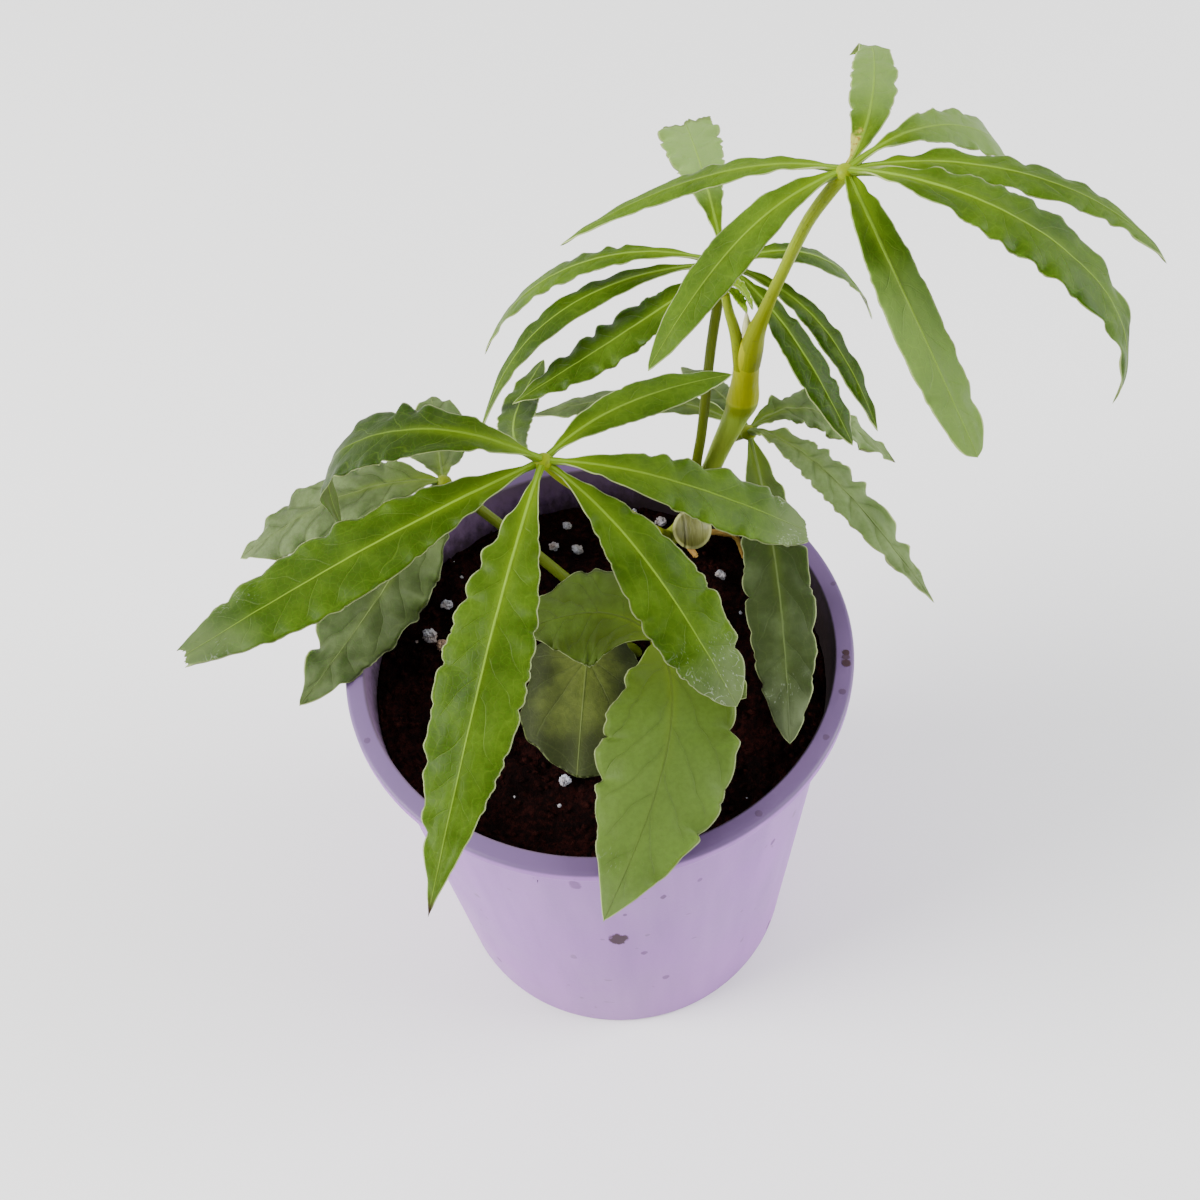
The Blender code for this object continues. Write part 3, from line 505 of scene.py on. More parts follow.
def blade_tree():
    g, given = new_geometry_tree('leaflet blade', [
        ('Knob', 'Vector'), ('Reach', 'Vector'), ('Width', 'Float'), ('Arch', 'Float'), ('Sweep', 'Float'),
        ('Roll', 'Float'), ('Hook', 'Float'), ('Veer', 'Float'), ('Belly', 'Float'),
        ('Waves', 'Float'), ('Cup', 'Float'), ('Lift', 'Float'), ('Blunt', 'Float'), ('Fall', 'Float'),
        ('Curl', 'Vector'), ('Worn', 'Float'), ('Scorch', 'Float'), ('Pale', 'Float'), ('Seed', 'Float'),
        ('Tone', 'Float'), ('Finish', 'Material')])
    reach, width, belly, fall = given['Reach'], given['Width'], given['Belly'], given['Fall']

    def store(geometry, name, value):
        return g.add(
            'GeometryNodeStoreNamedAttribute', {}, {'Geometry': geometry, 'Name': name, 'Value': value})

    def stored(name):
        return g.add('GeometryNodeInputNamedAttribute', {}, {'Name': name})

    grid = g.add(
        'GeometryNodeMeshGrid', {}, {'Size X': 1.0, 'Size Y': 2.0, 'Vertices X': ALONG, 'Vertices Y': ACROSS})
    flat = g.add('GeometryNodeInputPosition')
    aside = g.axis(flat, 'Y')
    grid = store(grid, 'out', g.axis(flat, 'X') + 0.5)
    grid = store(grid, 'aside', g.math('SIGN', aside) * abs(aside) ** 1.35)
    top = store(grid, 'skin', 1.0)
    under = g.add('GeometryNodeFlipFaces', {}, {0: store(grid, 'skin', -1.0)})
    blade = g.add('GeometryNodeJoinGeometry', {}, {0: [under, top]})

    s, side, skin = stored('out'), stored('aside'), stored('skin')
    share = abs(side)
    s5 = s ** 5.0
    s6 = s5 * s
    hump = s * 5.0 - s * s * 7.0 + s * s * s * 2.0
    slope = 5.0 - s * 14.0 + s * s * 6.0
    up = (0.0, 0.0, 1.0)
    level = g.vector('NORMALIZE', g.vector('CROSS_PRODUCT', up, reach))
    rib = given['Knob'] + reach * s + level * (given['Sweep'] * hump + given['Veer'] * s6)
    rib = rib + g.point(0.0, 0.0, given['Arch'] * hump - given['Hook'] * s6) + given['Curl'] * s ** 16.0
    ahead = reach + level * (given['Sweep'] * slope + given['Veer'] * s5 * 6.0)
    ahead = ahead + given['Curl'] * (s ** 15.0 * 16.0)
    ahead = g.vector('NORMALIZE', ahead + g.point(0.0, 0.0, given['Arch'] * slope - given['Hook'] * s5 * 6.0))
    left = g.vector('NORMALIZE', level - ahead * g.vector('DOT_PRODUCT', level, ahead, out='Value'))
    rise = g.vector('CROSS_PRODUCT', ahead, left)
    roll = g.math('RADIANS', given['Roll'])
    cosine, sine = g.math('COSINE', roll), g.math('SINE', roll)
    left, rise = left * cosine + rise * sine, rise * cosine - left * sine

    power = belly * fall / (1.0 - belly)
    widest = belly ** power * (1.0 - belly) ** fall
    law = s * (1.0 - given['Blunt'])
    neck = 1.0 - 0.5 * g.math('EXPONENT', s * -6.0)
    spread = law ** power * (1.0 - law) ** fall / widest * width * 0.5 * neck
    stalk = g.math('MAXIMUM', 1.0 - s * 1.3, 0.0) * STALK_HALF + NECK_HALF
    ends = g.math('MINIMUM', s * 90.0, 1.0) * g.math('MINIMUM', (1.0 - s) * 60.0, 1.0)
    tip_open = g.ramp(given['Blunt'], 0.0, 0.02)
    tip = g.math('MINIMUM', (1.0 - s) * 60.0 + tip_open, 1.0)
    half = g.math('MAXIMUM', spread, stalk) * g.math('SQRT', g.math('MINIMUM', s * 90.0, 1.0) * tip)

    drift = (g.noise(g.point(s * 4.0, given['Seed'], side * 0.3), 1.0) - 0.5) * 2.2
    beat = given['Waves'] * s + drift + 0.5 * g.math('LESS_THAN', side, 0.0)
    calm = g.math('MINIMUM', spread / (width * 0.25), 1.0) * given['Lift']
    vary = g.ramp(g.noise(g.point(beat * 0.45, given['Seed'] + 7.0, side * 0.2), 1.0), 0.36, 0.62, 0.3, 1.4)
    lobe = g.math('POWER', abs(g.math('SINE', beat * math.pi)), 0.75) * 2.0 - 1.15
    scallop = abs(g.math('SINE', beat * (1.55 * math.pi) + given['Seed'] * 2.0)) * 2.0 - 1.2
    notch = abs(g.math('SINE', beat * (2.9 * math.pi) + given['Seed'])) * 2.0 - 1.2
    ruffle = g.math('COSINE', beat * (2.0 * math.pi)) * -1.0
    jag = g.noise(g.point(side * 3.2, given['Seed'] * 3.0, s * 0.5), 1.0, 3.0, 0.7) - 0.5
    fold = half * (STALK_FOLD * (1.0 - s) ** 3.0 - DROOP * g.math('SINE', s * math.pi) + given['Cup'])

    wavy = WAVE_DEPTH * lobe * vary + SCALLOP_DEPTH * scallop + NOTCH_DEPTH * notch * (1.4 - vary)
    outwards = half * side * (1.0 + wavy * calm * share * share)
    height = share ** 1.25 * fold + share ** 2.6 * WAVE_LIFT * width * ruffle * calm * vary
    veins = beat - share * half / VEIN_SLANT
    puff = abs(g.math('SINE', veins * math.pi)) * share * (1.0 - share) * 0.55 * calm * vary
    creep = (g.noise(g.point(s * 7.0, side * 1.6, given['Seed']), 1.0) - 0.5) * width * 0.06 * calm
    round_edge = g.math('SQRT', 1.0 - share ** 6.0)
    swell = EDGE_SKIN + KNOB_SKIN * g.math('EXPONENT', s * -16.0)
    ridge = g.math('EXPONENT', side * half * side * half * -4.5) * (1.0 - s * 0.75)
    ridge = ridge * g.math('ADD', 0.22, g.math('LESS_THAN', skin, 0.0) * 0.28)
    thick = skin * (swell * round_edge + ridge * 0.8) * g.math('SQRT', ends)
    tear = ahead * (jag * g.math('MINIMUM', given['Blunt'] * 8.0, 1.0) * width * 0.9 * s ** 12.0)
    place = rib + tear + left * outwards + rise * (height + puff + creep + thick)

    blade = store(blade, 'off', side * half)
    blade = store(blade, 'edge', (1.0 - share) * half)
    blade = store(blade, 'veins', veins)
    for name in ('Tone', 'Worn', 'Scorch', 'Pale'):
        blade = store(blade, name.lower(), given[name])
    blade = g.add('GeometryNodeSetPosition', {}, {'Geometry': blade, 'Position': place * MM})
    blade = g.add('GeometryNodeMergeByDistance', {}, {'Geometry': blade, 'Distance': MERGE_DISTANCE})
    return end_tree(g, blade, given['Finish'])


blade_recipe = blade_tree()
print('blade tree has', len(blade_recipe.nodes), 'nodes')

# %% [markdown]
# ## Where the leaflets go
# The same driving sizes as in the solids are repeated here, in millimetres. Each leaflet has its reach from
# the knob to the tip, its greatest width, and only what differs from a plain leaflet. Arch and sweep bend it
# up and sideways, hook and veer turn its tip, roll tips it to one side and cup folds it up. Belly says how
# far out it is widest, a high fall draws the tip out to a long point, blunt cuts it off with a torn end, and
# curl bends its very end. Lift is how strongly its edge waves and pitch how long one wave is. Tone makes it
# lighter or darker than its leaf, and a low tone paints shade on a leaflet that hangs in shadow. Pale
# bleaches its outer half, worn gives it a dull, speckled tip, greyed partly by wear and partly as a painted
# sheen, and scorch dries the tip's end, or below zero scars the blade near its knob.

# %% Leaflet table
PLAIN = {
    'Arch': 0, 'Sweep': 0, 'Roll': 0, 'Hook': 0, 'Veer': 0, 'Belly': 0.54, 'Cup': 0, 'Lift': 1, 'Blunt': 0,
    'Fall': 0.85, 'Curl': (0, 0, 0), 'Worn': 0.1, 'Scorch': 0, 'Pale': 0, 'Tone': 0, 'pitch': 8}
FEWEST_WAVES = 6


def leaflet(reach, width, **bends):
    named = {key if key == 'pitch' else key.capitalize(): value for key, value in bends.items()}
    values = {**PLAIN, **named}
    values['Waves'] = max(FEWEST_WAVES, round(Vector(reach).length / values.pop('pitch')))
    return {'Reach': reach, 'Width': width, **values}


# the knob, the finish, how light the leaf's green is, and its leaflets
FANS = {
    'front': ((-7, 1, 180), upper_leaf, 0.45, [
        leaflet((-75, -28, -15), 18, arch=0.5, sweep=-1.6, roll=-8, belly=0.56, blunt=0.045, worn=0.8,
                lift=0.7),
        leaflet((-31, -78, -40), 18.5, arch=7.5, sweep=0.5, belly=0.53, fall=1.2, scorch=1),
        leaflet((34, -41, -35), 17, arch=2.5, sweep=3.2, roll=10, belly=0.66, fall=0.7, worn=1, tone=0.3),
        leaflet((55, -1, -30), 14.8, arch=7.8, sweep=-3, roll=12, belly=0.68, fall=0.55, worn=0.9, lift=0.8,
                blunt=0.02, tone=0.15),
        leaflet((42, 24, -5), 9.5, arch=2.5, sweep=2.5, belly=0.55, roll=10, lift=0.5, tone=0.25),
        leaflet((1.5, 58, -27), 8.5, arch=-4, sweep=7, belly=0.6),
        leaflet((-52, 13, -7), 15, arch=15, sweep=5, hook=9, veer=-1, belly=0.6, fall=0.6, curl=(5, -1, -13),
                tone=-1.0)]),
    'top': ((55, 21, 228), upper_leaf, 0.8, [
        leaflet((-54, 18, -23), 7.6, arch=3.5, sweep=-4.1, hook=2, belly=0.5, fall=1.0, lift=0.7),
        leaflet((-40, -21, -25), 10.8, arch=2.5, sweep=-4.6, belly=0.52, fall=0.75, lift=0.5),
        leaflet((17.5, -47, -30), 10.4, arch=3, sweep=-1, belly=0.55, fall=0.38, lift=0.7, pale=0.42),
        leaflet((55, -33, -13), 14.5, arch=9, sweep=-3.8, hook=20, veer=-2, belly=0.58, pitch=6.5, fall=0.9,
                curl=(-7, 1, -1), tone=-0.4),
        leaflet((61, -12, -11), 9.4, arch=3.5, sweep=3.5, hook=9, belly=0.55),
        leaflet((36.5, 20.5, -11.5), 11.5, arch=6.8, sweep=-1, roll=18, hook=2, belly=0.65, blunt=0.22,
                worn=0.3, scorch=0.5, pale=0.3, curl=(0, 0, -1.5)),
        leaflet((11.5, 40, 6), 9.0, arch=1, sweep=-3, hook=6, veer=-1.5, curl=(-5, -1, -1.5), lift=1.3,
                scorch=-1, tone=0.3, pale=0.5)]),
    'back': ((36.6, 49, 184.5), upper_leaf, 0.5, [
        leaflet((-57.5, 13.5, -18), 7.8, arch=12.5, sweep=4.5, hook=17, veer=-4, belly=0.6, pitch=6.5),
        leaflet((-58.5, -11.5, -10.5), 8.4, arch=2.5, sweep=-4.5, hook=20, veer=1.5, belly=0.6, lift=0.6),
        leaflet((-50, -14.5, -21), 12.5, arch=-0.5, belly=0.5, fall=1.0, pitch=6),
        leaflet((24.5, -31, -28.5), 8.8, arch=2, sweep=2.4, belly=0.6, fall=0.75, tone=-0.6),
        leaflet((30.5, -28.5, -27.5), 6.6, arch=-1, sweep=9, tone=-0.6),
        leaflet((37, 6.5, -18), 7.8, arch=10, sweep=-4, hook=10.5, veer=2, tone=-0.3),
        leaflet((-4, 38.5, 10.5), 13.5, arch=4, belly=0.8, fall=0.35, pitch=5, blunt=0.06, lift=1.3,
                scorch=0.4, tone=0.3, pale=0.75)]),
    'right': ((42, 44, 136), grey_leaf, 0.5, [
        leaflet((38, 1, -18), 13, arch=7.5, sweep=5, belly=0.5, pitch=7, scorch=0.8, lift=2.1, pale=0.25),
        leaflet((37, -46, -15), 10, arch=15, sweep=-3, belly=0.5, pitch=7, lift=2.1, worn=0.3, fall=1.0,
                tone=0.4, pale=0.2),
        leaflet((-2, -78, -18), 16, arch=-2, sweep=2.4, belly=0.52, fall=0.72, pitch=10, lift=1.15, worn=0.8,
                tone=-0.4),
        leaflet((-53, 25, -12), 10, arch=6, sweep=-3),
        leaflet((-13, 31, -6), 8, arch=2, sweep=-1)]),
    'left': ((-33, 40, 134), grey_leaf, 0.5, [
        leaflet((-54, -2, -18), 23, arch=8, belly=0.5, pitch=10, lift=1.4, fall=1.0, worn=0.3, tone=0.3),
        leaflet((-38, -47, -20), 22.5, sweep=2.2, belly=0.42, pitch=11, lift=1.4, tone=-0.25),
        leaflet((-3, 35, -5), 18, belly=0.55)]),
    'three_lobed': ((14, -5, 122), dull_leaf, 0.55, [
        leaflet((-31, 7, 0), 29, arch=2, sweep=-5, belly=0.45, pitch=9, lift=0.45),
        leaflet((-19, -66, -5), 30.5, arch=6.5, sweep=7.3, belly=0.42, pitch=13, lift=0.85, fall=1.0,
                worn=0.4, tone=0.35, pale=0.13),
        leaflet((18, -17, -2), 15, arch=2, belly=0.5)]),
    'young': ((35.2, 39.4, 186), young_leaf, 0.6, [
        leaflet((6, -1.5, -5), 3.4, arch=3.5, cup=0.5, pitch=3),
        leaflet((4.5, -3, -4.5), 3.0, arch=1.5, cup=0.5, pitch=3),
        leaflet((-3, 4, 1), 3.0, arch=1.5, cup=0.5, pitch=3),
        leaflet((2, 4.5, 0), 2.8, arch=1.5, cup=0.5, pitch=3)])}
print(sum(len(fan[-1]) for fan in FANS.values()), 'leaflets on', len(FANS), 'leaves')

# %% [markdown]
# Each leaf is grown leaflet by leaflet and joined into one piece, which stands for the leaf's plain solid.
# The seed and the tone change from leaflet to leaflet, so no two ruffles and no two greens are the same.
# Where a leaflet is narrow, at its two ends and on the young leaf, the midrib keeps its two skins a hair
# apart at the rim, and the open edges there are counted.

# %% Grow the leaves
UPPER_FINISHES = (upper_leaf, young_leaf)
LEAF_SEED, LEAFLET_SEED = 10.0, 1.7
for index, (leaf, (knob, finish, lightness, leaflets)) in enumerate(FANS.items()):
    blades = []
    for number, values in enumerate(leaflets):
        seed = LEAF_SEED * index + LEAFLET_SEED * number
        tone = lightness + values['Tone'] + 0.15 * math.sin(2.4 * number + index)
        own = {'Knob': knob, 'Seed': seed, 'Tone': tone, 'Finish': finish}
        blades.append(grow(f'{leaf}_{number}', blade_recipe, {**values, **own}))
    blades = join(f'blades_{leaf}', blades)
    loose = close_up(blades, outwards=False)
    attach(blades, 'root')
    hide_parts(f'leaf_{leaf}')
    'upper_leaf' if finish in UPPER_FINISHES else 'lower_leaf'
    print(blades.name, triangles(blades), 'triangles,', loose, 'edges without two faces')

# %% [markdown]
# ## Stalks, stem and roots
# Everything that is long and round here follows a path: a leaf stalk, the creeping stem, a root. One tree
# draws them all: a smooth curve through a few control points that carry a radius, a round profile swept
# along it, and a little unevenness. A swept curve keeps the rings of a node and the taper exactly where the
# control points put them. The sweep also leaves two attributes behind, the way along and the way round, from
# which the finish draws its fine lengthwise lines.


# %% Tube tree
PATH_STEPS = 12
KNOB_DETAIL = 4
KNOB_SQUASH = (1.0, 1.0, 0.8)


def tube_tree():
    g, given = new_geometry_tree('living tube', [
        ('Step', 'Float'), ('Sides', 'Int'), ('Uneven', 'Float'), ('Grain', 'Float'), ('Knob', 'Vector'),
        ('Knob size', 'Float'), ('Finish', 'Material')], with_geometry=True)
    path = g.add('GeometryNodeMeshToCurve', {}, {0: given['Geometry']})
    path = g.add('GeometryNodeCurveSplineType', {'spline_type': 'CATMULL_ROM'}, {0: path})
    path = g.add('GeometryNodeSetSplineResolution', {}, {0: path, 'Resolution': PATH_STEPS})
    path = g.add('GeometryNodeResampleCurve', {'mode': 'LENGTH'}, {0: path, 'Length': given['Step']})
    factor = g.add('GeometryNodeSplineParameter')
    path = g.add('GeometryNodeStoreNamedAttribute', {}, {'Geometry': path, 'Name': 'out', 'Value': factor})
    ring = g.add(
        'GeometryNodeCurvePrimitiveCircle', {'mode': 'RADIUS'}, {'Resolution': given['Sides'], 'Radius': 1.0})
    ring = g.add('GeometryNodeStoreNamedAttribute', {}, {
        'Geometry': ring, 'Name': 'round', 'Value': g.math('PINGPONG', factor * 2.0, 1.0)})
    thick = g.add('GeometryNodeInputNamedAttribute', {}, {'Name': 'thick'})
    tube = g.add('GeometryNodeCurveToMesh', {}, {
        'Curve': path, 'Profile Curve': ring, 'Scale': thick, 'Fill Caps': True})
    ball = g.add('GeometryNodeMeshIcoSphere', {}, {'Radius': given['Knob size'], 'Subdivisions': KNOB_DETAIL})
    ball = g.add('GeometryNodeTransform', {}, {
        0: ball, 'Translation': given['Knob'], 'Scale': KNOB_SQUASH})
    ball = g.add('GeometryNodeStoreNamedAttribute', {}, {'Geometry': ball, 'Name': 'out', 'Value': 1.0})
    both = g.add('GeometryNodeJoinGeometry', {}, {0: [tube, ball]})
    place = g.add('GeometryNodeInputPosition')
    normal = g.add('GeometryNodeInputNormal')
    lumps = (g.noise(place, given['Grain']) - 0.5) * given['Uneven']
    both = g.add('GeometryNodeSetPosition', {}, {'Geometry': both, 'Offset': normal * lumps})
    return end_tree(g, both, given['Finish'])


tube_recipe = tube_tree()


def path_mesh(name, points):
    """A line of points with a radius, which the tube tree follows."""
    mesh = bpy.data.meshes.new(name)
    mesh.from_pydata([Vector(p[:3]) * MM for p in points], [(i, i + 1) for i in range(len(points) - 1)], [])
    radius = mesh.attributes.new('thick', 'FLOAT', 'POINT')
    radius.data.foreach_set('value', [p[3] * MM for p in points])
    return mesh


print('tube tree has', len(tube_recipe.nodes), 'nodes')

# %% [markdown]
# ## Stem and stalk finish
# A living stem is never one green. It is yellow-green and waxy where it is young, at the top, and paler and
# cooler lower down; fine lines run along it, and the ring of an old leaf scar shows as a pale line with a
# darker belt below it. Leaf stalks darken from the knob, which is nearly yellow, to their foot. Heights are
# counted in millimetres, a little slanted, because the stem leans.


# %% Stem, stalk and root materials
RING_HEIGHT = 151.9
STEM_AXIS, RING_SLANT = 37.5, 0.25


def stalk_material(name, foot, top, knob):
    made, g, shader, place = new_material(name)
    out, turn_round = attribute(g, 'out'), attribute(g, 'round')
    cloud = g.noise(place, 160.0, 3.0)
    lines = g.noise(g.point(turn_round * 14.0, out * 2.0, 0.0), 1.0, 2.0)
    colour = g.mix(g.ramp(out + (cloud - 0.5) * 0.35, 0.05, 0.85), foot, top)
    colour = g.mix(g.ramp(out, 0.9, 1.0), colour, knob)
    colour = g.mix(g.ramp(lines, 0.45, 0.75, 0.0, 0.35), colour, foot)
    colour = g.mix(g.ramp(g.noise(place, 1300.0, 0.0), 0.66, 0.78, 0.0, 0.4), colour, (0.08, 0.10, 0.02))
    feed(g, shader, Base_Color=colour, Roughness=g.ramp(cloud, 0.3, 0.7, 0.36, 0.5),
         Normal=bump(g, lines * 0.6 + cloud * 0.5, 0.00025))
    let_light_in(shader, 0.1, 0.2, (0.0015, 0.0022, 0.0006))
    return made


upper_stalk = stalk_material(
    'fresh leaf stalk', foot=(0.15, 0.175, 0.003), top=(0.20, 0.26, 0.012), knob=(0.19, 0.25, 0.002))
shaded_stalk = stalk_material(
    'shaded leaf stalk', foot=(0.070, 0.092, 0.003), top=(0.10, 0.13, 0.006), knob=(0.13, 0.175, 0.001))
lower_stalk = stalk_material(
    'older leaf stalk', foot=(0.075, 0.11, 0.006), top=(0.10, 0.135, 0.01), knob=(0.13, 0.165, 0.004))


def stem_material():
    made, g, shader, place = new_material('creeping stem')
    height = g.axis(place, 'Z') * 1000.0 + (g.axis(place, 'Y') * 1000.0 - STEM_AXIS) * RING_SLANT
    cloud = g.noise(place, 140.0, 3.0)
    lines = g.noise(g.vector('MULTIPLY', place, (1400.0, 1400.0, 120.0)), 1.0, 2.0)
    colour = g.mix(g.ramp(height, 112.0, 146.0), (0.17, 0.21, 0.022), (0.19, 0.27, 0.026))
    colour = g.mix(g.ramp(height, 146.5, 150.0), colour, (0.135, 0.175, 0.001))
    colour = g.mix(g.ramp(height, 151.4, 152.2), colour, (0.235, 0.255, 0.001))
    colour = g.mix(g.ramp(height, 160.0, 174.0), colour, (0.28, 0.295, 0.001))
    colour = g.mix(g.ramp(abs(height - RING_HEIGHT), 0.2, 0.9, 0.55, 0.0), colour, (0.27, 0.31, 0.02))
    colour = g.mix(g.ramp(lines, 0.4, 0.8, 0.0, 0.22), colour, (0.09, 0.12, 0.01))
    colour = g.mix(g.ramp(cloud, 0.35, 0.75, 0.0, 0.2), colour, (0.23, 0.24, 0.02))
    feed(g, shader, Base_Color=colour, Roughness=g.ramp(cloud, 0.3, 0.7, 0.34, 0.5),
         Normal=bump(g, lines * 0.5 + cloud * 0.8, 0.0003))
    let_light_in(shader, 0.1, 0.2, (0.0018, 0.0022, 0.0006))
    return made


def root_material():
    made, g, shader, place = new_material('aerial root')
    out = attribute(g, 'out')
    cloud = g.noise(place, 300.0, 3.0)
    fuzz = g.noise(place, 2600.0, 2.0, 0.7)
    colour = g.mix(g.ramp(cloud, 0.3, 0.7), (0.32, 0.165, 0.022), (0.48, 0.28, 0.05))
    colour = g.mix(g.ramp(out, 0.0, 0.12, 0.6, 0.0), colour, (0.28, 0.25, 0.045))
    colour = g.mix(g.ramp(fuzz, 0.5, 0.75, 0.0, 0.4), colour, (0.42, 0.30, 0.14))
    feed(g, shader, Base_Color=colour, Roughness=g.ramp(fuzz, 0.3, 0.7, 0.55, 0.8),
         Normal=bump(g, fuzz * 0.6 + cloud, 0.0003))
    return made


stem_green = stem_material()
root_tan = root_material()
print('finishes:', [m.name for m in (upper_stalk, shaded_stalk, lower_stalk, stem_green, root_tan)])

# %% [markdown]
# Each stalk follows the same points as its plain solid: x, y, height and radius in millimetres, from the
# foot to the knob. After them come the knob's radius and the finish.

# %% Grow the stalks
STALKS = {
    'front': ([
        (21, 36.6, 108.6, 1.5), (17.5, 33.5, 115, 1.4), (9, 25.5, 134, 1.2), (-2, 11, 161, 1.1),
        (-7, 1, 180, 1.2)], 2.0, upper_stalk),
    'top': ([
        (40.5, 36.8, 166, 2.6), (40.8, 36.4, 170.8, 2.75), (41.4, 35.8, 175.6, 2.35),
        (42.4, 34.6, 180.6, 1.75), (43.6, 32.2, 188, 1.35), (45.6, 28.6, 199, 1.25),
        (49.5, 24.2, 215.4, 1.3), (55, 21, 228, 1.4)], 1.9, upper_stalk),
    'back': ([
        (30.6, 39.2, 125, 1.4), (28.4, 38.2, 131, 1.3), (30, 38.6, 145, 1.2), (33, 43.6, 168, 1.2),
        (36.6, 49, 184.5, 1.2)], 2.1, shaded_stalk),
    'right': ([
        (28, 38.8, 118, 1.4), (30.5, 44, 121.5, 1.3), (36, 47.5, 129, 1.2),
        (42, 44, 136, 1.2)], 2.1, lower_stalk),
    'left': ([
        (8, 16, 90, 1.4), (4, 19, 101, 1.4), (-8, 26, 112.5, 1.4), (-22, 35, 124, 1.3),
        (-33, 40, 134, 1.3)], 2.1, lower_stalk),
    'three_lobed': ([
        (16, 10, 90, 1.3), (16.5, 8, 103, 1.2), (16.5, 3, 114, 1.2),
        (14, -5, 122, 1.2)], 1.9, lower_stalk),
    'heart': ([
        (10, 7, 90, 1.3), (9.5, 6, 102, 1.3), (6, 3.5, 109, 1.2),
        (-2.8, -1, 112, 1.1)], 1.2, lower_stalk),
    'young': ([
        (38.4, 37.0, 165, 1.5), (38, 37.1, 170.6, 1.5), (37.2, 37.5, 176, 1.3), (36, 38.2, 181, 1.1),
        (35.2, 39.4, 186, 1.0)], 1.4, upper_stalk)}


def tube_piece(name, points, finish, knob_size, step=0.9, sides=24, uneven=0.12, grain=260.0):
    """Grows one stalk, stem or root; uneven is how deep its lumps are and grain how close they lie."""
    values = {
        'Step': step * MM, 'Sides': sides, 'Uneven': uneven * MM, 'Grain': grain, 'Finish': finish,
        'Knob': tuple(v * MM for v in points[-1][:3]), 'Knob size': knob_size * MM}
    item = join(name, [grow(name, tube_recipe, values, path_mesh(name, points))])
    close_up(item)
    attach(item, 'root')
    return item


for leaf, (points, knob_size, finish) in STALKS.items():
    made = tube_piece(f'stalk_{leaf}', points, finish, knob_size)
    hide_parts(f'leaf_{leaf}')
    print(made.name, triangles(made), 'triangles')

# %% [markdown]
# The stem creeps up out of the soil and turns at its lower node. It is swollen at the ring below the top
# leaf, so its radius changes quickly there, and more control points sit close together. The two roots dive
# into the soil to the left and the right, and the stub beside them has only begun to grow.

# %% Grow the stem and the roots
STEM = [
    (9, 31, 88, 1.8), (12, 33.5, 98, 1.9), (17.5, 36, 105.5, 2.1), (23.5, 37, 110, 2.3),
    (28.5, 38.5, 119, 2.2), (34, 40.2, 134, 2.4), (38.3, 41.2, 145, 3.0), (39.6, 41.0, 149.5, 3.7),
    (40.0, 40.4, 152.8, 3.65), (40.1, 39.1, 159.2, 3.15), (40.1, 37.5, 167, 2.95), (40.5, 36.7, 171, 2.8),
    (41.0, 36.2, 174, 2.3), (41.5, 35.7, 176.5, 1.6)]
ROOTS = {
    'root_left': [
        (21.5, 37.6, 108.6, 0.9), (17.5, 39.0, 108.2, 0.8), (14.5, 40.2, 107.2, 0.75),
        (11.5, 41.5, 104.8, 0.7), (9.5, 42.5, 98, 0.6)],
    'root_right': [
        (25.5, 37.5, 110.4, 0.9), (30.3, 36.6, 109.2, 0.8), (34.5, 35.6, 108.8, 0.75),
        (38.2, 34.2, 107.4, 0.7), (40.5, 31.5, 98, 0.6)],
    'root_stub': [(24, 36.5, 109.5, 0.9), (25.8, 33.4, 107.6, 0.85), (27.2, 31, 106.6, 0.7)]}

stem = tube_piece(
    'stem_living', STEM, stem_green, 1.5, step=0.7, sides=40, uneven=0.18, grain=180.0)
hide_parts('stem')
print(stem.name, triangles(stem), 'triangles')
for name, points in ROOTS.items():
    root = tube_piece(
        name + '_living', points, root_tan, 0.5, step=0.4, sides=20, uneven=0.35, grain=900.0)
    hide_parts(name)
    print(root.name, triangles(root), 'triangles')

# %% [markdown]
# ## Pot
# A nursery pot is one thin shell, turned about its axis: flat floor, tapered wall, and a flat lip turned
# outwards. Its section is drawn once as a line and turned, with the corners rounded by a bevel, because a
# moulded edge is never sharp and catches the light. The drain holes are cut through the floor.

# %% Pot sizes and shell
RIM_RADIUS, POT_HEIGHT, LIP_WIDTH, LIP_DEPTH = 60.0, 116.0, 4.6, 3.4
FOOT_RADIUS, WALL, FLOOR = 46.5, 1.2, 1.6
DRAIN_HOLES, DRAIN_RADIUS, DRAIN_CIRCLE = 6, 3.5, 30.0
ON_AXIS = 1e-6


def wall_radius(height, inner):
    """How far the tapered wall stands from the axis at this height, on its inner or its outer face."""
    top = RIM_RADIUS - LIP_WIDTH + WALL
    outside = FOOT_RADIUS + (top - FOOT_RADIUS) * height / POT_HEIGHT
    return outside - WALL if inner else outside


def fillet(before, corner, after, size, steps=4):
    """Rounds one corner of a section line."""
    start = corner + (before - corner).normalized() * size
    stop = corner + (after - corner).normalized() * size
    line = []
    for i in range(steps + 1):
        t = i / steps
        line.append(start * (1 - t) ** 2 + corner * 2 * t * (1 - t) + stop * t * t)
    return line


def turned(name, section, sides, finish):
    """Turns a section line of (radius, height) that starts and ends on the axis into a closed shell."""
    work = bmesh.new()
    rings = []
    for radius, height in section:
        if radius < ON_AXIS:
            rings.append([work.verts.new((0, 0, height * MM))])
            continue
        angles = [math.tau * k / sides for k in range(sides)]
        rings.append([
            work.verts.new((radius * MM * math.cos(a), radius * MM * math.sin(a), height * MM))
            for a in angles])
    for low, high in zip(rings, rings[1:]):
        bridge(work, low, high)
    bmesh.ops.recalc_face_normals(work, faces=work.faces)
    return finished(name, work, finish)


print('wall is', WALL, 'mm thick and leans out', round(RIM_RADIUS - LIP_WIDTH - FOOT_RADIUS, 1), 'mm')

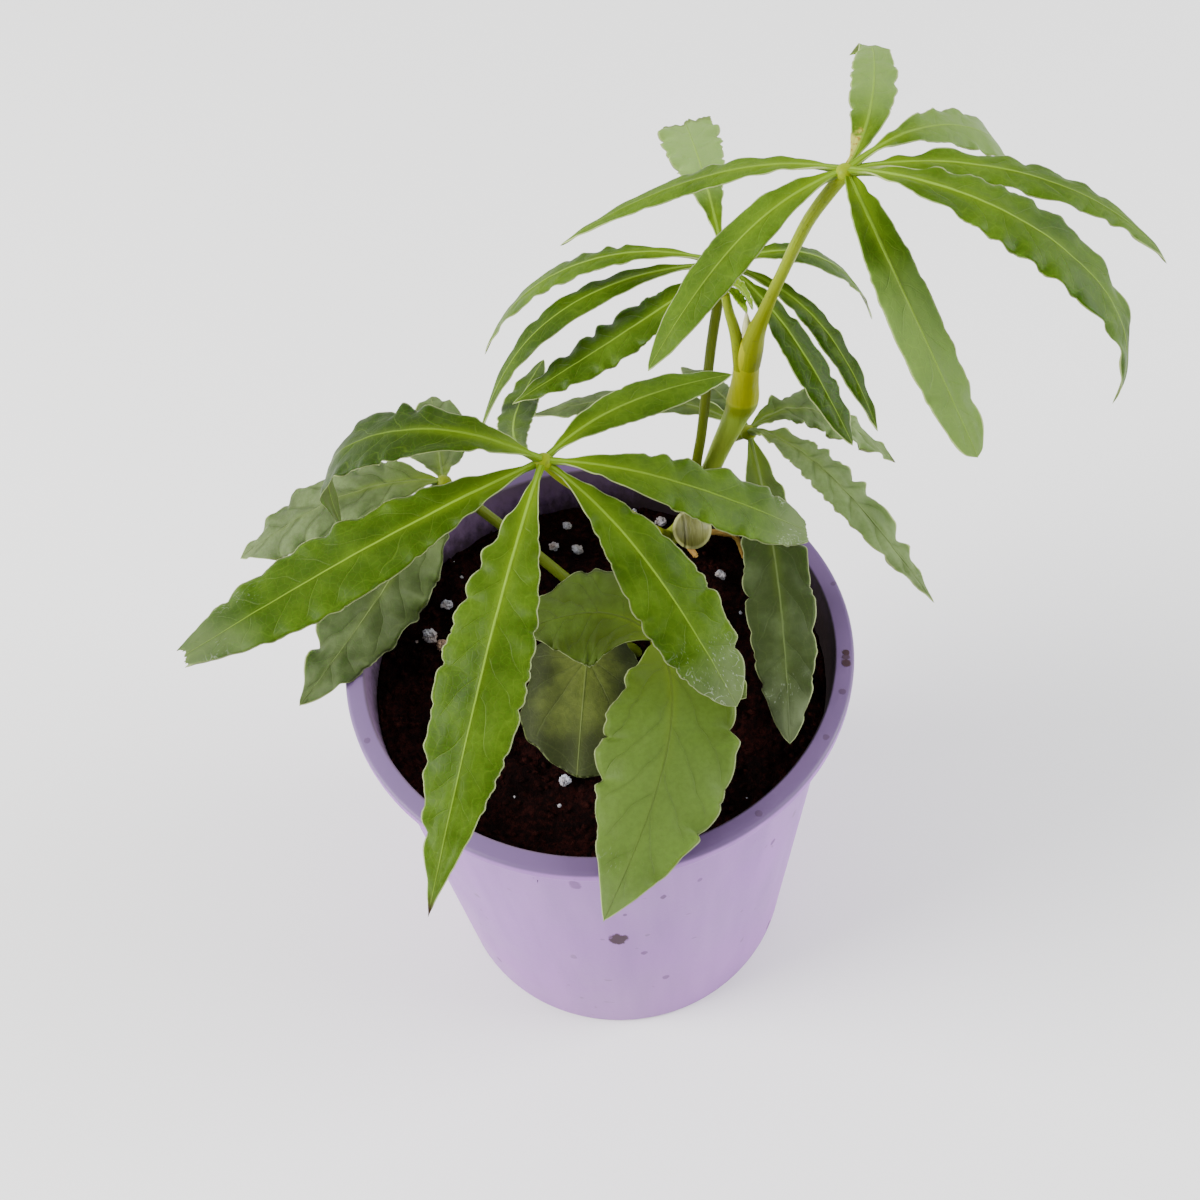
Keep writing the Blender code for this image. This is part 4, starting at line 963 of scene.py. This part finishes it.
# %% [markdown]
# The plastic is lilac and smooth, with the soft sheen of polypropylene. Up close it has faint vertical flow
# streaks and dirt: a tide line of peat on the inner wall, and a few smudges of soil outside. Light and shade
# are painted in too: the lower wall is paler and pinker with painted light, the lip is greyer with painted
# shade, lighter at the left, and the inner wall is darkened with painted shade, most on the right, where the
# dark tide is painted higher. The smudges are placed by angle and height, as one would point them out.


# %% Pot material
# painted shade: the greys of the lip, the left one lighter
LIP_SHADE_LEFT, LIP_SHADE_FRONT = (0.125, 0.088, 0.178), (0.086, 0.060, 0.122)
# painted shade on the inner wall, far darker on the right
INNER_SHADE_LEFT, INNER_SHADE_RIGHT = (0.115, 0.078, 0.114), (0.010, 0.005, 0.008)
WET_PEAT, DRY_SOIL = (0.007, 0.002, 0.002), (0.028, 0.008, 0.010)
WALL_SLOPE, INNER_FOOT = 0.0871, 46.0

# angle from +X in degrees, height, half width in millimetres, strength
SMUDGES = [
    (-92.7, 66.9, 2.6, 0.95), (-101.1, 101.8, 1.6, 0.4), (-80.6, 89.7, 0.8, 0.6), (-86.3, 54.8, 0.9, 0.5),
    (-80.1, 32.6, 1.0, 0.45), (-47.5, 83.9, 0.9, 0.5), (-32.1, 6.0, 1.4, 0.8), (-90.4, 82.7, 0.6, 0.5),
    (-139.0, 15.9, 1.0, 0.4), (-71.3, 92.4, 0.7, 0.4), (-12.6, 116.0, 1.3, 0.95), (-9.6, 116.0, 0.9, 0.95),
    (-11.0, 115.0, 1.1, 0.8), (-20.5, 116.0, 0.9, 0.5), (-33.4, 116.0, 0.9, 0.45), (-58.0, 116.0, 0.8, 0.4),
    (-160.0, 116.0, 0.9, 0.35), (40.0, 60.0, 1.8, 0.7), (95.0, 80.0, 1.4, 0.6), (150.0, 40.0, 1.6, 0.6),
    (170.0, 95.0, 0.9, 0.5)]


def smudge_centre(angle, level):
    """A point on the outer wall, or in the middle of the lip's top, in metres."""
    radius = wall_radius(level, False) if level < POT_HEIGHT - 1 else RIM_RADIUS - 2.0
    turn = math.radians(angle)
    return Vector((radius * math.cos(turn), radius * math.sin(turn), level)) * MM


def pot_material():
    made, g, shader, place = new_material('lilac plastic')
    across, height = g.axis(place, 'X'), g.axis(place, 'Z') * 1000.0
    radius = g.vector('LENGTH', g.vector('MULTIPLY', place, (1000.0, 1000.0, 0.0)), out='Value')
    streaks = g.noise(g.vector('MULTIPLY', place, (120.0, 120.0, 9.0)), 1.0, 3.0)
    cloud = g.noise(place, 30.0, 3.0)
    fine = g.noise(place, 1600.0, 2.0, 0.6)
    grit = g.noise(place * (1.0, 1.0, 0.6), 420.0, 4.0, 0.65)

    drawn = g.ramp(streaks * 0.6 + cloud * 0.4, 0.35, 0.65)
    colour = g.mix(drawn, (0.24, 0.086, 0.36), (0.31, 0.118, 0.44))
    # painted light: the wall is paler and pinker towards the bottom, where the floor throws light up
    colour = g.mix(g.ramp(height, 0.0, 70.0, 0.3, 0.0), colour, (0.40, 0.18, 0.45))
    # painted shade: the lip's top is greyer and darker than the wall, less so at the left
    lip = g.ramp(height, POT_HEIGHT - 1.2, POT_HEIGHT - 0.3) * g.ramp(radius, 54.5, 55.3)
    lip_shade = g.mix(g.ramp(across, -0.05, 0.0), LIP_SHADE_LEFT, LIP_SHADE_FRONT)
    colour = g.mix(lip * 0.85, colour, lip_shade)
    inside = g.ramp(radius - height * WALL_SLOPE, INNER_FOOT, INNER_FOOT - 0.6)
    # painted shade: the inner wall is darkened, most on the right
    inner_shade = g.mix(g.ramp(across, -0.025, 0.035), INNER_SHADE_LEFT, INNER_SHADE_RIGHT)
    # the peat tide line is dirt; on the right it is painted higher, as shade
    right_shade_rise = g.ramp(across, 0.0, 0.045, 0.0, 5.0)
    tide_and_shade = g.ramp(height + grit * 15.0 + cloud * 6.0 - right_shade_rise, 113.0, 125.0, 1.0, 0.0) * inside
    colour = g.mix(inside * g.ramp(across, -0.025, 0.035, 0.85, 0.98), colour, inner_shade)
    colour = g.mix(tide_and_shade * 0.9, colour, WET_PEAT)

    smudges = None
    for angle, level, wide, strength in SMUDGES:
        from_centre = (place - tuple(smudge_centre(angle, level))) * (1000.0, 1000.0, 650.0)
        away = g.vector('LENGTH', from_centre, out='Value')
        mask = g.ramp(away + (grit - 0.5) * wide * 1.3, wide * 0.75, wide * 1.05, strength, 0.0)
        smudges = mask if smudges is None else g.math('MAXIMUM', smudges, mask)
    dust = g.ramp(g.noise(place, 320.0, 0.0), 0.81, 0.85, 0.0, 0.4) * (1.0 - inside)
    colour = g.mix(g.math('MAXIMUM', smudges, dust), colour, DRY_SOIL)

    rough = g.ramp(cloud + fine * 0.3, 0.3, 1.0, 0.36, 0.55) + smudges * 0.3 + inside * 0.4
    feed(g, shader, Base_Color=colour, Roughness=rough,
         Normal=bump(g, fine * 0.12 + streaks * 0.3 + smudges * 0.5 + tide_and_shade * grit, 0.0002))
    let_light_in(shader, 0.3, 0.12, (0.004, 0.003, 0.005))
    return made


lilac_plastic = pot_material()
print(len(SMUDGES), 'smudges of soil on the pot')

# %% Turn the pot
POT_SIDES, DRILL_SIDES, DRILL_LENGTH = 192, 40, 12.0
CORNER_SIZES = (1.4, 0.7, 0.9, 1.0, 0.7, 2.0)
lip = POT_HEIGHT - LIP_DEPTH
corners = [Vector(p) for p in (
    (0.0, 0.0), (FOOT_RADIUS, 0.0), (wall_radius(lip, False), lip), (RIM_RADIUS, lip),
    (RIM_RADIUS, POT_HEIGHT), (wall_radius(POT_HEIGHT, True), POT_HEIGHT), (wall_radius(FLOOR, True), FLOOR),
    (0.0, FLOOR))]
section = [corners[0]]
for before, corner, after, size in zip(corners, corners[1:], corners[2:], CORNER_SIZES):
    section += fillet(before, corner, after, size)
section.append(corners[-1])
pot = turned('pot_shell', section, POT_SIDES, lilac_plastic)

cutters = bpy.data.collections.new('drain cutters')
bpy.context.scene.collection.children.link(cutters)
for k in range(DRAIN_HOLES):
    angle = math.tau * (k + 0.5) / DRAIN_HOLES
    drill = bmesh.new()
    bmesh.ops.create_cone(
        drill, cap_ends=True, segments=DRILL_SIDES, radius1=DRAIN_RADIUS * MM, radius2=DRAIN_RADIUS * MM,
        depth=DRILL_LENGTH * MM)
    bmesh.ops.translate(
        drill, verts=drill.verts,
        vec=(DRAIN_CIRCLE * MM * math.cos(angle), DRAIN_CIRCLE * MM * math.sin(angle), 0))
    mesh = bpy.data.meshes.new('drain')
    drill.to_mesh(mesh)
    drill.free()
    cutters.objects.link(bpy.data.objects.new('drain', mesh))
cut = pot.modifiers.new('drains', 'BOOLEAN')
cut.operand_type, cut.collection, cut.solver = 'COLLECTION', cutters, 'EXACT'
depsgraph = bpy.context.evaluated_depsgraph_get()
pot.data = bpy.data.meshes.new_from_object(pot.evaluated_get(depsgraph))
pot.modifiers.clear()
for item in list(cutters.objects):
    bpy.data.objects.remove(item, do_unlink=True)
bpy.data.collections.remove(cutters)
pot.data.shade_smooth()
pot.data.set_sharp_from_angle(angle=math.radians(35))
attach(pot, 'root')
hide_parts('pot')
print(pot.name, triangles(pot), 'triangles')

# %% [markdown]
# ## Soil
# Damp potting mix is nearly black, with reddish peat fibres and crumbs of every size. The top follows the
# plain solid's long waves, a noise roughens it, and a tree scatters crumbs and fibres over it: instances are
# placed at random points with random turns and sizes, and only then made real.


# %% Soil material
def soil_material(name, dark, warm):
    made, g, shader, place = new_material(name)
    cloud = g.noise(place, 120.0, 3.0)
    crumb = g.noise(place, 700.0, 4.0, 0.7)
    grain = g.noise(place, 2600.0, 2.0, 0.7)
    colour = g.mix(g.ramp(crumb * 0.7 + cloud * 0.3, 0.42, 0.70), dark, warm)
    colour = g.mix(g.ramp(grain, 0.68, 0.80, 0.0, 0.4), colour, (0.07, 0.028, 0.022))
    feed(g, shader, Base_Color=colour, Roughness=g.ramp(crumb, 0.3, 0.7, 0.7, 0.98),
         Normal=bump(g, crumb + grain * 0.4, 0.0009))
    shader.inputs['Specular IOR Level'].default_value = 0.03
    return made


damp_peat = soil_material('damp peat', (0.003, 0.0008, 0.0008), (0.024, 0.0055, 0.0045))
peat_crumbs = soil_material('peat crumbs', (0.005, 0.0012, 0.0011), (0.034, 0.008, 0.006))
print('soil finishes:', damp_peat.name, peat_crumbs.name)

# %% Soil body
SOIL_TOP, SOIL_RELIEF, SOIL_TILT = 103.6, 1.1, 1.2
SOIL_EDGE = wall_radius(SOIL_TOP, True) - 0.1
SOIL_SIDE = ((SOIL_EDGE - 0.9, 92.0), (SOIL_EDGE - 5.0, 60.0))


def soil_height(x, y):
    """The long waves of the soil's top, the same as in the plain solid."""
    calm = min(1.0, max(0.0, (SOIL_EDGE - math.hypot(x, y)) / 8.0))
    waves = (math.sin(0.31 * x + 0.17 * y + 1.0) + math.sin(0.23 * y - 0.12 * x)
             + 0.7 * math.sin(0.52 * x - 0.41 * y + 2.0) + 0.6 * math.sin(0.64 * y + 0.38 * x))
    return SOIL_TOP + SOIL_RELIEF * calm * waves / 2.2 + SOIL_TILT * (-x - 0.6 * y) / SOIL_EDGE


def soil_disc(rings=84, sectors=210):
    """The rough top, drawn in rings of triangles, with a plain side and bottom under it."""
    work = bmesh.new()
    centre = work.verts.new(Vector((0, 0, soil_height(0, 0))) * MM)
    last = None
    for ring in range(1, rings + 1):
        radius = SOIL_EDGE * (ring / rings) ** 0.85
        this = []
        for k in range(sectors):
            angle = math.tau * (k + 0.5 * (ring % 2)) / sectors
            x, y = radius * math.cos(angle), radius * math.sin(angle)
            rough = noise.fractal(Vector((x, y, 3.0)) * 0.28, 0.9, 2.1, 4) * 0.75
            rough += abs(noise.noise(Vector((x, y, 9.0)) * 0.9)) * 0.9
            this.append(work.verts.new(Vector((x, y, soil_height(x, y) + rough - 0.25)) * MM))
        for k in range(sectors):
            n = (k + 1) % sectors
            if last is None:
                work.faces.new((centre, this[k], this[n]))
            elif ring % 2:
                work.faces.new((last[k], this[k], last[n]))
                work.faces.new((this[k], this[n], last[n]))
            else:
                work.faces.new((last[k], this[k], this[n]))
                work.faces.new((last[k], this[n], last[n]))
        last = this
    for radius, level in SOIL_SIDE:
        this = []
        for k in range(sectors):
            angle = math.tau * k / sectors
            point = Vector((radius * math.cos(angle), radius * math.sin(angle), level))
            this.append(work.verts.new(point * MM))
        for k in range(sectors):
            n = (k + 1) % sectors
            work.faces.new((last[k], this[k], this[n], last[n]))
        last = this
    work.faces.new(last)
    bmesh.ops.recalc_face_normals(work, faces=work.faces)
    return finished('soil_bed', work, damp_peat)


soil = soil_disc()
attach(soil, 'root')
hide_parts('soil')
print(soil.name, triangles(soil), 'triangles')


# %% [markdown]
# The scatter tree takes the soil's top as its ground. Its inputs are the number per square metre, the
# smallest and largest size, how long a bit may be, and the seed, so the same tree gives crumbs, fibres and
# the fine white dust of broken perlite. A bit has only 20 faces, because there are thousands of them.


# %% Scatter tree
def scatter_tree():
    g, given = new_geometry_tree('scattered bits', [
        ('Density', 'Float'), ('Smallest', 'Float'), ('Largest', 'Float'), ('Long', 'Float'), ('Seed', 'Int'),
        ('Finish', 'Material')], with_geometry=True)
    normal = g.add('GeometryNodeInputNormal')
    top = g.math('GREATER_THAN', g.axis(normal, 'Z'), 0.3)
    points = g.add('GeometryNodeDistributePointsOnFaces', {}, {
        'Mesh': given['Geometry'], 'Selection': top, 'Density': given['Density'], 'Seed': given['Seed']})
    size = g.add(
        'FunctionNodeRandomValue', {'data_type': 'FLOAT'}, {2: 0.0, 3: 1.0, 'Seed': given['Seed'] + 1}, 1)
    size = given['Smallest'] + (given['Largest'] - given['Smallest']) * size * size * size
    stretch = g.add(
        'FunctionNodeRandomValue', {'data_type': 'FLOAT'}, {2: 0.7, 3: 1.1, 'Seed': given['Seed'] + 2}, 1)
    spin = g.add('FunctionNodeRandomValue', {'data_type': 'FLOAT_VECTOR'}, {
        0: (-0.6, -0.6, 0.0), 1: (0.6, 0.6, 6.28), 'Seed': given['Seed'] + 3}, 0)
    bit = g.add('GeometryNodeMeshIcoSphere', {}, {'Radius': 1.0, 'Subdivisions': 1})
    bits = g.add('GeometryNodeInstanceOnPoints', {}, {
        'Points': points, 'Instance': bit, 'Rotation': spin,
        'Scale': g.point(size * given['Long'], size * stretch, size * stretch * 0.8)})
    solid = g.add('GeometryNodeRealizeInstances', {}, {0: bits})
    place = g.add('GeometryNodeInputPosition')
    knock = (g.noise(place, 900.0, 1.0, 0.5, 1) - (0.5, 0.5, 0.5)) * given['Largest'] * 1.1
    solid = g.add('GeometryNodeSetPosition', {}, {'Geometry': solid, 'Offset': knock})
    return end_tree(g, solid, given['Finish'])


scatter_recipe = scatter_tree()


def scatter(name, finish, density, smallest, largest, long, seed):
    """Scatters one kind of bit over the soil as a piece of its own."""
    item = grow(name, scatter_recipe, {
        'Density': density, 'Smallest': smallest * MM, 'Largest': largest * MM, 'Long': long,
        'Seed': seed, 'Finish': finish}, soil.data.copy())
    item = join(name, [item])
    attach(item, 'root')
    print(item.name, triangles(item), 'triangles')


scatter('soil_crumbs', peat_crumbs, 170000.0, 0.25, 1.25, 1.2, 4)
scatter('peat_fibres', peat_crumbs, 30000.0, 0.10, 0.24, 12.0, 11)

# %% [markdown]
# ## Perlite
# Perlite is volcanic glass puffed up like popcorn: white, light, pitted grains. The large ones sit where the
# photograph shows them, and each is grown from its plain solid's box: a ball pushed in and out by noise, and
# sunk a little into the crumbs. Peat water has stained one of them tan. Fine dust lies between the crumbs.


# %% Perlite material and grains
def perlite_material(name, clean, stained):
    made, g, shader, place = new_material(name)
    cloud = g.noise(place, 170.0, 2.0)
    pits = g.add('ShaderNodeTexVoronoi', {}, {'Vector': place, 'Scale': 1500.0})
    fine = g.noise(place, 2400.0, 2.0, 0.6)
    colour = g.mix(g.ramp(cloud, 0.45, 0.75), clean, stained)
    colour = g.mix(g.ramp(pits, 0.05, 0.5, 0.45, 0.0), colour, (0.25, 0.20, 0.18))
    feed(g, shader, Base_Color=colour, Roughness=g.ramp(fine, 0.3, 0.7, 0.7, 0.95),
         Normal=bump(g, pits + fine * 0.4, 0.0005))
    return made


white_perlite = perlite_material('perlite', (0.42, 0.43, 0.50), (0.30, 0.21, 0.16))
tan_perlite = perlite_material('stained perlite', (0.42, 0.27, 0.18), (0.26, 0.15, 0.09))
GRAIN_COUNT, STAINED_GRAIN = 12, 9
GRAIN_SINK = 0.45
for index in range(1, GRAIN_COUNT + 1):
    low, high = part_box(f'perlite_{index}')
    work = bmesh.new()
    bmesh.ops.create_icosphere(work, subdivisions=4, radius=1.0)
    for vert in work.verts:
        ball = vert.co.copy()
        lump = 0.95 + 0.55 * noise.noise(ball * 1.3 + Vector((index * 7.0, 0, 0)))
        lump += 0.30 * noise.noise(ball * 3.2 + Vector((0, index * 5.0, 0)))
        for i in range(3):
            inside_box = max(-1.0, min(1.0, ball[i] * lump))
            vert.co[i] = (low[i] + high[i]) / 2 + (high[i] - low[i]) / 2 * inside_box
    bmesh.ops.translate(work, verts=work.verts, vec=(0, 0, -GRAIN_SINK * MM))
    finish = tan_perlite if index == STAINED_GRAIN else white_perlite
    grain = finished(f'perlite_{index}_grain', work, finish)
    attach(grain, 'root')
    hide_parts(f'perlite_{index}')
scatter('perlite_dust', white_perlite, 3000.0, 0.2, 0.6, 1.1, 23)
print(GRAIN_COUNT, 'large grains')

# %% [markdown]
# ## Heart-shaped leaf
# The plant's first leaves are plain hearts. This one lies low over the soil, so its stalk meets the blade
# from below at a notch. The outline is one closed formula round the stalk's end, and the blade is filled
# with rings between that point and the outline, so that the veins can fan out from the same place. Its marks
# are the same attributes as on the leaflets, and its green is greyer; its tone falls towards the outline,
# which paints shade there, where the leaves above shadow it.

# %% Heart-shaped blade
HEART_ROOT = Vector((-2.8, -1.0, 112.0))
HEART_AHEAD = Vector((-5.6, -31.0, -2.5)).normalized()
HEART_SHIFT = 6.0
HEART_HALF, HEART_POINT, HEART_NOTCH, NOTCH_ANGLE = 15.0, 8.2, 8.0, 0.30
HEART_MARKS = ('out', 'off', 'edge', 'veins', 'tone', 'skin')


def heart_size(angle):
    """How far the outline lies from the blade's middle: angle 0 is the tip and pi the notch."""
    size = HEART_HALF + HEART_POINT * max(0.0, math.cos(angle)) ** 3
    size = size + 1.2 * math.sin(5 * angle) + 0.25 * math.sin(17 * angle + 1.0)
    return size - HEART_NOTCH * math.exp(-((angle - math.pi) / NOTCH_ANGLE) ** 2)


def heart_blade(sectors=168, rings=44):
    left = Vector((-HEART_AHEAD.y, HEART_AHEAD.x, 0)).normalized()
    rise = HEART_AHEAD.cross(left)
    work = bmesh.new()
    layers = {name: work.verts.layers.float.new(name) for name in HEART_MARKS}
    for skin in (1.0, -1.0):
        all_rings = []
        for ring in range(rings + 1):
            share = ring / rings
            this = []
            for k in range(1 if ring == 0 else sectors):
                angle = math.tau * k / sectors
                size = heart_size(angle)
                a, b = (size * math.cos(angle) + HEART_SHIFT) * share, size * math.sin(angle) * share
                sag = -0.010 * b * b - 0.004 * a * a + 0.6 * math.sin(0.5 * b) * share
                phase = 4.5 * abs(math.remainder(angle, math.tau)) / math.pi + 0.12 * share
                sag += 0.25 * abs(math.sin(math.pi * phase)) * share * (1.2 - share)
                thick = skin * (0.16 * math.sqrt(1 - share ** 8) + 0.5 * math.exp(-share * 12))
                thick += skin * 0.16 * math.exp(-b * b * 3) * (1 - share)
                vert = work.verts.new(
                    (HEART_ROOT + HEART_AHEAD * a + left * b + rise * (sag + thick)) * MM)
                rib_off = b * (1.0 if a > 0 else 4.0)
                to_edge = (1 - share) * size + 0.2
                # the tone falls from the stalk's end to the outline: painted shade from the leaves above
                marks = (0.45 + 0.4 * share, rib_off, to_edge, phase, 1.25 - 1.35 * share, skin)
                for name, value in zip(HEART_MARKS, marks):
                    vert[layers[name]] = value
                this.append(vert)
            all_rings.append(this)
        for low, high in zip(all_rings, all_rings[1:]):
            for k in range(sectors):
                n = (k + 1) % sectors
                around = (low[k], high[k], high[n], low[n]) if len(low) > 1 else (low[0], high[k], high[n])
                work.faces.new(around if skin > 0 else tuple(reversed(around)))
    bmesh.ops.remove_doubles(work, verts=work.verts, dist=MERGE_DISTANCE)
    return finished('blades_heart', work, heart_green)


heart = heart_blade()
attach(heart, 'root')
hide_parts('leaf_heart')
print(heart.name, triangles(heart), 'triangles')

# %% [markdown]
# ## Sheath and scale
# The node low on the stem is wrapped by a small hood, the dried sheath of a leaf that has dropped off. It is
# a shallow bowl with a rolled edge and fine lines that run from end to end. The scale between the two stalks
# on top is the same thing at an earlier age, thin and pale as paper.


# %% Sheath and scale finish
def sheath_material(name, body, line, rim):
    """A dry skin with lengthwise lines, a paler rim and one crease, with painted shade along the crease."""
    made, g, shader, place = new_material(name)
    out, turn_round = attribute(g, 'out'), attribute(g, 'round')
    lines = g.noise(g.point(turn_round * 26.0, out * 1.2, 0.0), 1.0, 2.0)
    cloud = g.noise(place, 260.0, 3.0)
    colour = g.mix(g.ramp(lines * 0.5 + cloud * 0.5 + (turn_round - 0.5) * 0.35, 0.3, 0.75), body, line)
    colour = g.mix(g.ramp(out, 0.86, 0.98), colour, rim)
    crease_shade = g.ramp(abs(turn_round - 0.30 + (out - 0.5) * 0.05), 0.004, 0.06, 1.0, 0.0)
    # painted shade along the crease
    colour = g.mix(crease_shade * 0.35, colour, (0.05, 0.045, 0.008))
    feed(g, shader, Base_Color=colour, Roughness=g.ramp(cloud, 0.3, 0.7, 0.45, 0.65),
         Normal=bump(g, lines * 0.6 + cloud * 0.4 - crease_shade * 0.8, 0.0004))
    let_light_in(shader, 0.5, 0.15, (0.0015, 0.0018, 0.0006))
    return made


dry_sheath = sheath_material('dry sheath', (0.085, 0.088, 0.008), (0.20, 0.205, 0.05), (0.33, 0.34, 0.12))
paper_scale = sheath_material('paper scale', (0.42, 0.44, 0.16), (0.55, 0.55, 0.28), (0.58, 0.54, 0.36))


# %% Grow the sheath and the scale
ROLLED_EDGE = [(1.04, -0.12), (1.06, -0.3), (1.02, -0.46)]
INNER_SHARE, HOOD_THICKNESS = 0.94, 0.62


def hood(name, centre, out_way, across, half_wide, half_long, bulge, finish, sectors=96, rings=30):
    """A shallow bowl, hollow towards the stem, with a rolled edge."""
    up = out_way.cross(across)
    work = bmesh.new()
    way_out, way_round = work.verts.layers.float.new('out'), work.verts.layers.float.new('round')
    section = [(i / rings, 0.0) for i in range(rings + 1)]
    section += ROLLED_EDGE
    section += [(i / rings * INNER_SHARE, -HOOD_THICKNESS) for i in range(rings, -1, -1)]
    last = None
    for share, skin in section:
        dome = bulge * math.sqrt(max(0.0, 1.0 - 0.94 * min(1.0, share) ** 2)) + skin
        this = []
        for k in range(1 if share < ON_AXIS else sectors):
            angle = math.tau * k / sectors
            x, y = half_wide * share * math.cos(angle), half_long * share * math.sin(angle)
            wave = 0.10 * math.sin(3 * angle + 1.0) * share
            vert = work.verts.new((centre + across * x + up * y + out_way * (dome + wave)) * MM)
            vert[way_out], vert[way_round] = share, 0.5 + 0.5 * x / half_wide
            this.append(vert)
        if last is not None:
            bridge(work, last, this)
        last = this
    bmesh.ops.recalc_face_normals(work, faces=work.faces)
    return finished(name, work, finish)


SHEATH_PLACE, SHEATH_FACES = Vector((26.6, 33.8, 113.9)), Vector((0, -0.605, 0.796))
SHEATH_HALF_WIDE, SHEATH_HALF_LONG, SHEATH_BULGE = 4.6, 4.8, 3.2
SCALE_PATH = [(39.9, 36.5, 174.4, 1.2), (39.8, 36.8, 177.4, 1.05), (39.7, 37.3, 180.6, 0.35)]
sheath = hood(
    'sheath_hood', SHEATH_PLACE, SHEATH_FACES, Vector((1, 0, 0)), SHEATH_HALF_WIDE, SHEATH_HALF_LONG,
    SHEATH_BULGE, dry_sheath)
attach(sheath, 'root')
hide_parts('sheath')
scale = tube_piece(
    'scale_paper', SCALE_PATH, paper_scale, 0.3, step=0.2, sides=24, uneven=0.2, grain=700.0)
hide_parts('stem_scale')
print(sheath.name, triangles(sheath), 'and', scale.name, triangles(scale), 'triangles')

# %% [markdown]
# ## Floor and light
# The plant was photographed in flat, bright light on white, with no hard shadow anywhere. A wide pale floor
# throws light back up at the pot's wall, which, with the painted shade on the lip and the painted light low
# on the wall, is why the wall looks brighter than the lip. One large soft light stands at the left and a
# weaker one at the right, and a bright sky does most of the work. The sky is brightest behind the plant, and
# dimmer straight above, towards the viewer and right at the horizon.


# %% Floor, lights and world
def floor_material():
    made, g, shader, place = new_material('pale floor')
    colour = g.mix(g.noise(place, 3.0), (0.86, 0.86, 0.86), (0.88, 0.88, 0.88))
    feed(g, shader, Base_Color=colour)
    shader.inputs['Roughness'].default_value = 0.9
    shader.inputs['Specular IOR Level'].default_value = 0.1
    return made


FLOOR_HALF = 6.0
SUBJECT = (0, 0, 0.12)
floor_mesh = bpy.data.meshes.new('floor')
floor_mesh.from_pydata(
    [(-FLOOR_HALF, -FLOOR_HALF, 0), (FLOOR_HALF, -FLOOR_HALF, 0), (FLOOR_HALF, FLOOR_HALF, 0),
     (-FLOOR_HALF, FLOOR_HALF, 0)], [], [(0, 1, 2, 3)])
floor_mesh.materials.append(floor_material())
floor = in_scene('floor', floor_mesh)
floor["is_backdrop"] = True


def soft_light(name, place, size, power, colour):
    """A round area light that looks at the plant; its size is in metres and its power in watts."""
    data = bpy.data.lights.new(name, 'AREA')
    data.shape, data.size, data.energy, data.color = 'DISK', size, power, colour
    item = in_scene(name, data)
    item.location = place
    item.rotation_euler = (Vector(SUBJECT) - Vector(place)).to_track_quat('-Z', 'Y').to_euler()


soft_light('key', (-1.40, -0.20, 0.95), 1.0, 58.0, (1.0, 0.985, 0.96))
soft_light('fill', (1.45, -0.1, 0.8), 1.0, 36.0, (0.97, 0.98, 1.0))

world = bpy.data.worlds.new('studio')
world.use_nodes = True
bpy.context.scene.world = world
sky = Graph(world.node_tree)
way = sky.add('ShaderNodeTexCoord', {}, {}, 'Generated')
upwards, backwards = sky.axis(way, 'Z'), sky.axis(way, 'Y')
bright = sky.ramp(upwards, 0.0, 0.9, 2.2, 1.2) * sky.ramp(backwards, -0.95, 0.05, 0.25, 1.0)
bright = bright * sky.ramp(upwards, 0.0, 0.22, 0.72, 1.0)
background = world.node_tree.nodes['Background']
world.node_tree.links.new(bright.socket, background.inputs['Strength'])
background.inputs['Color'].default_value = (1.0, 1.0, 1.0, 1.0)
print('floor', 2 * FLOOR_HALF, 'm wide, two soft lights and a sky')

# %% [markdown]
# ## Finish
# The dressed plant has to stay inside the box of the plain solids, so both boxes are measured and how far
# the dressed plant grows past the plain one is printed.

# %% Sizes and finish
low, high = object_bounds()
past = [max(a - b, d - c) for a, b, c, d in zip(cad_low, low, cad_high, high)]
print('grows past the box by', [round(1000 * v, 2) for v in past], 'mm')
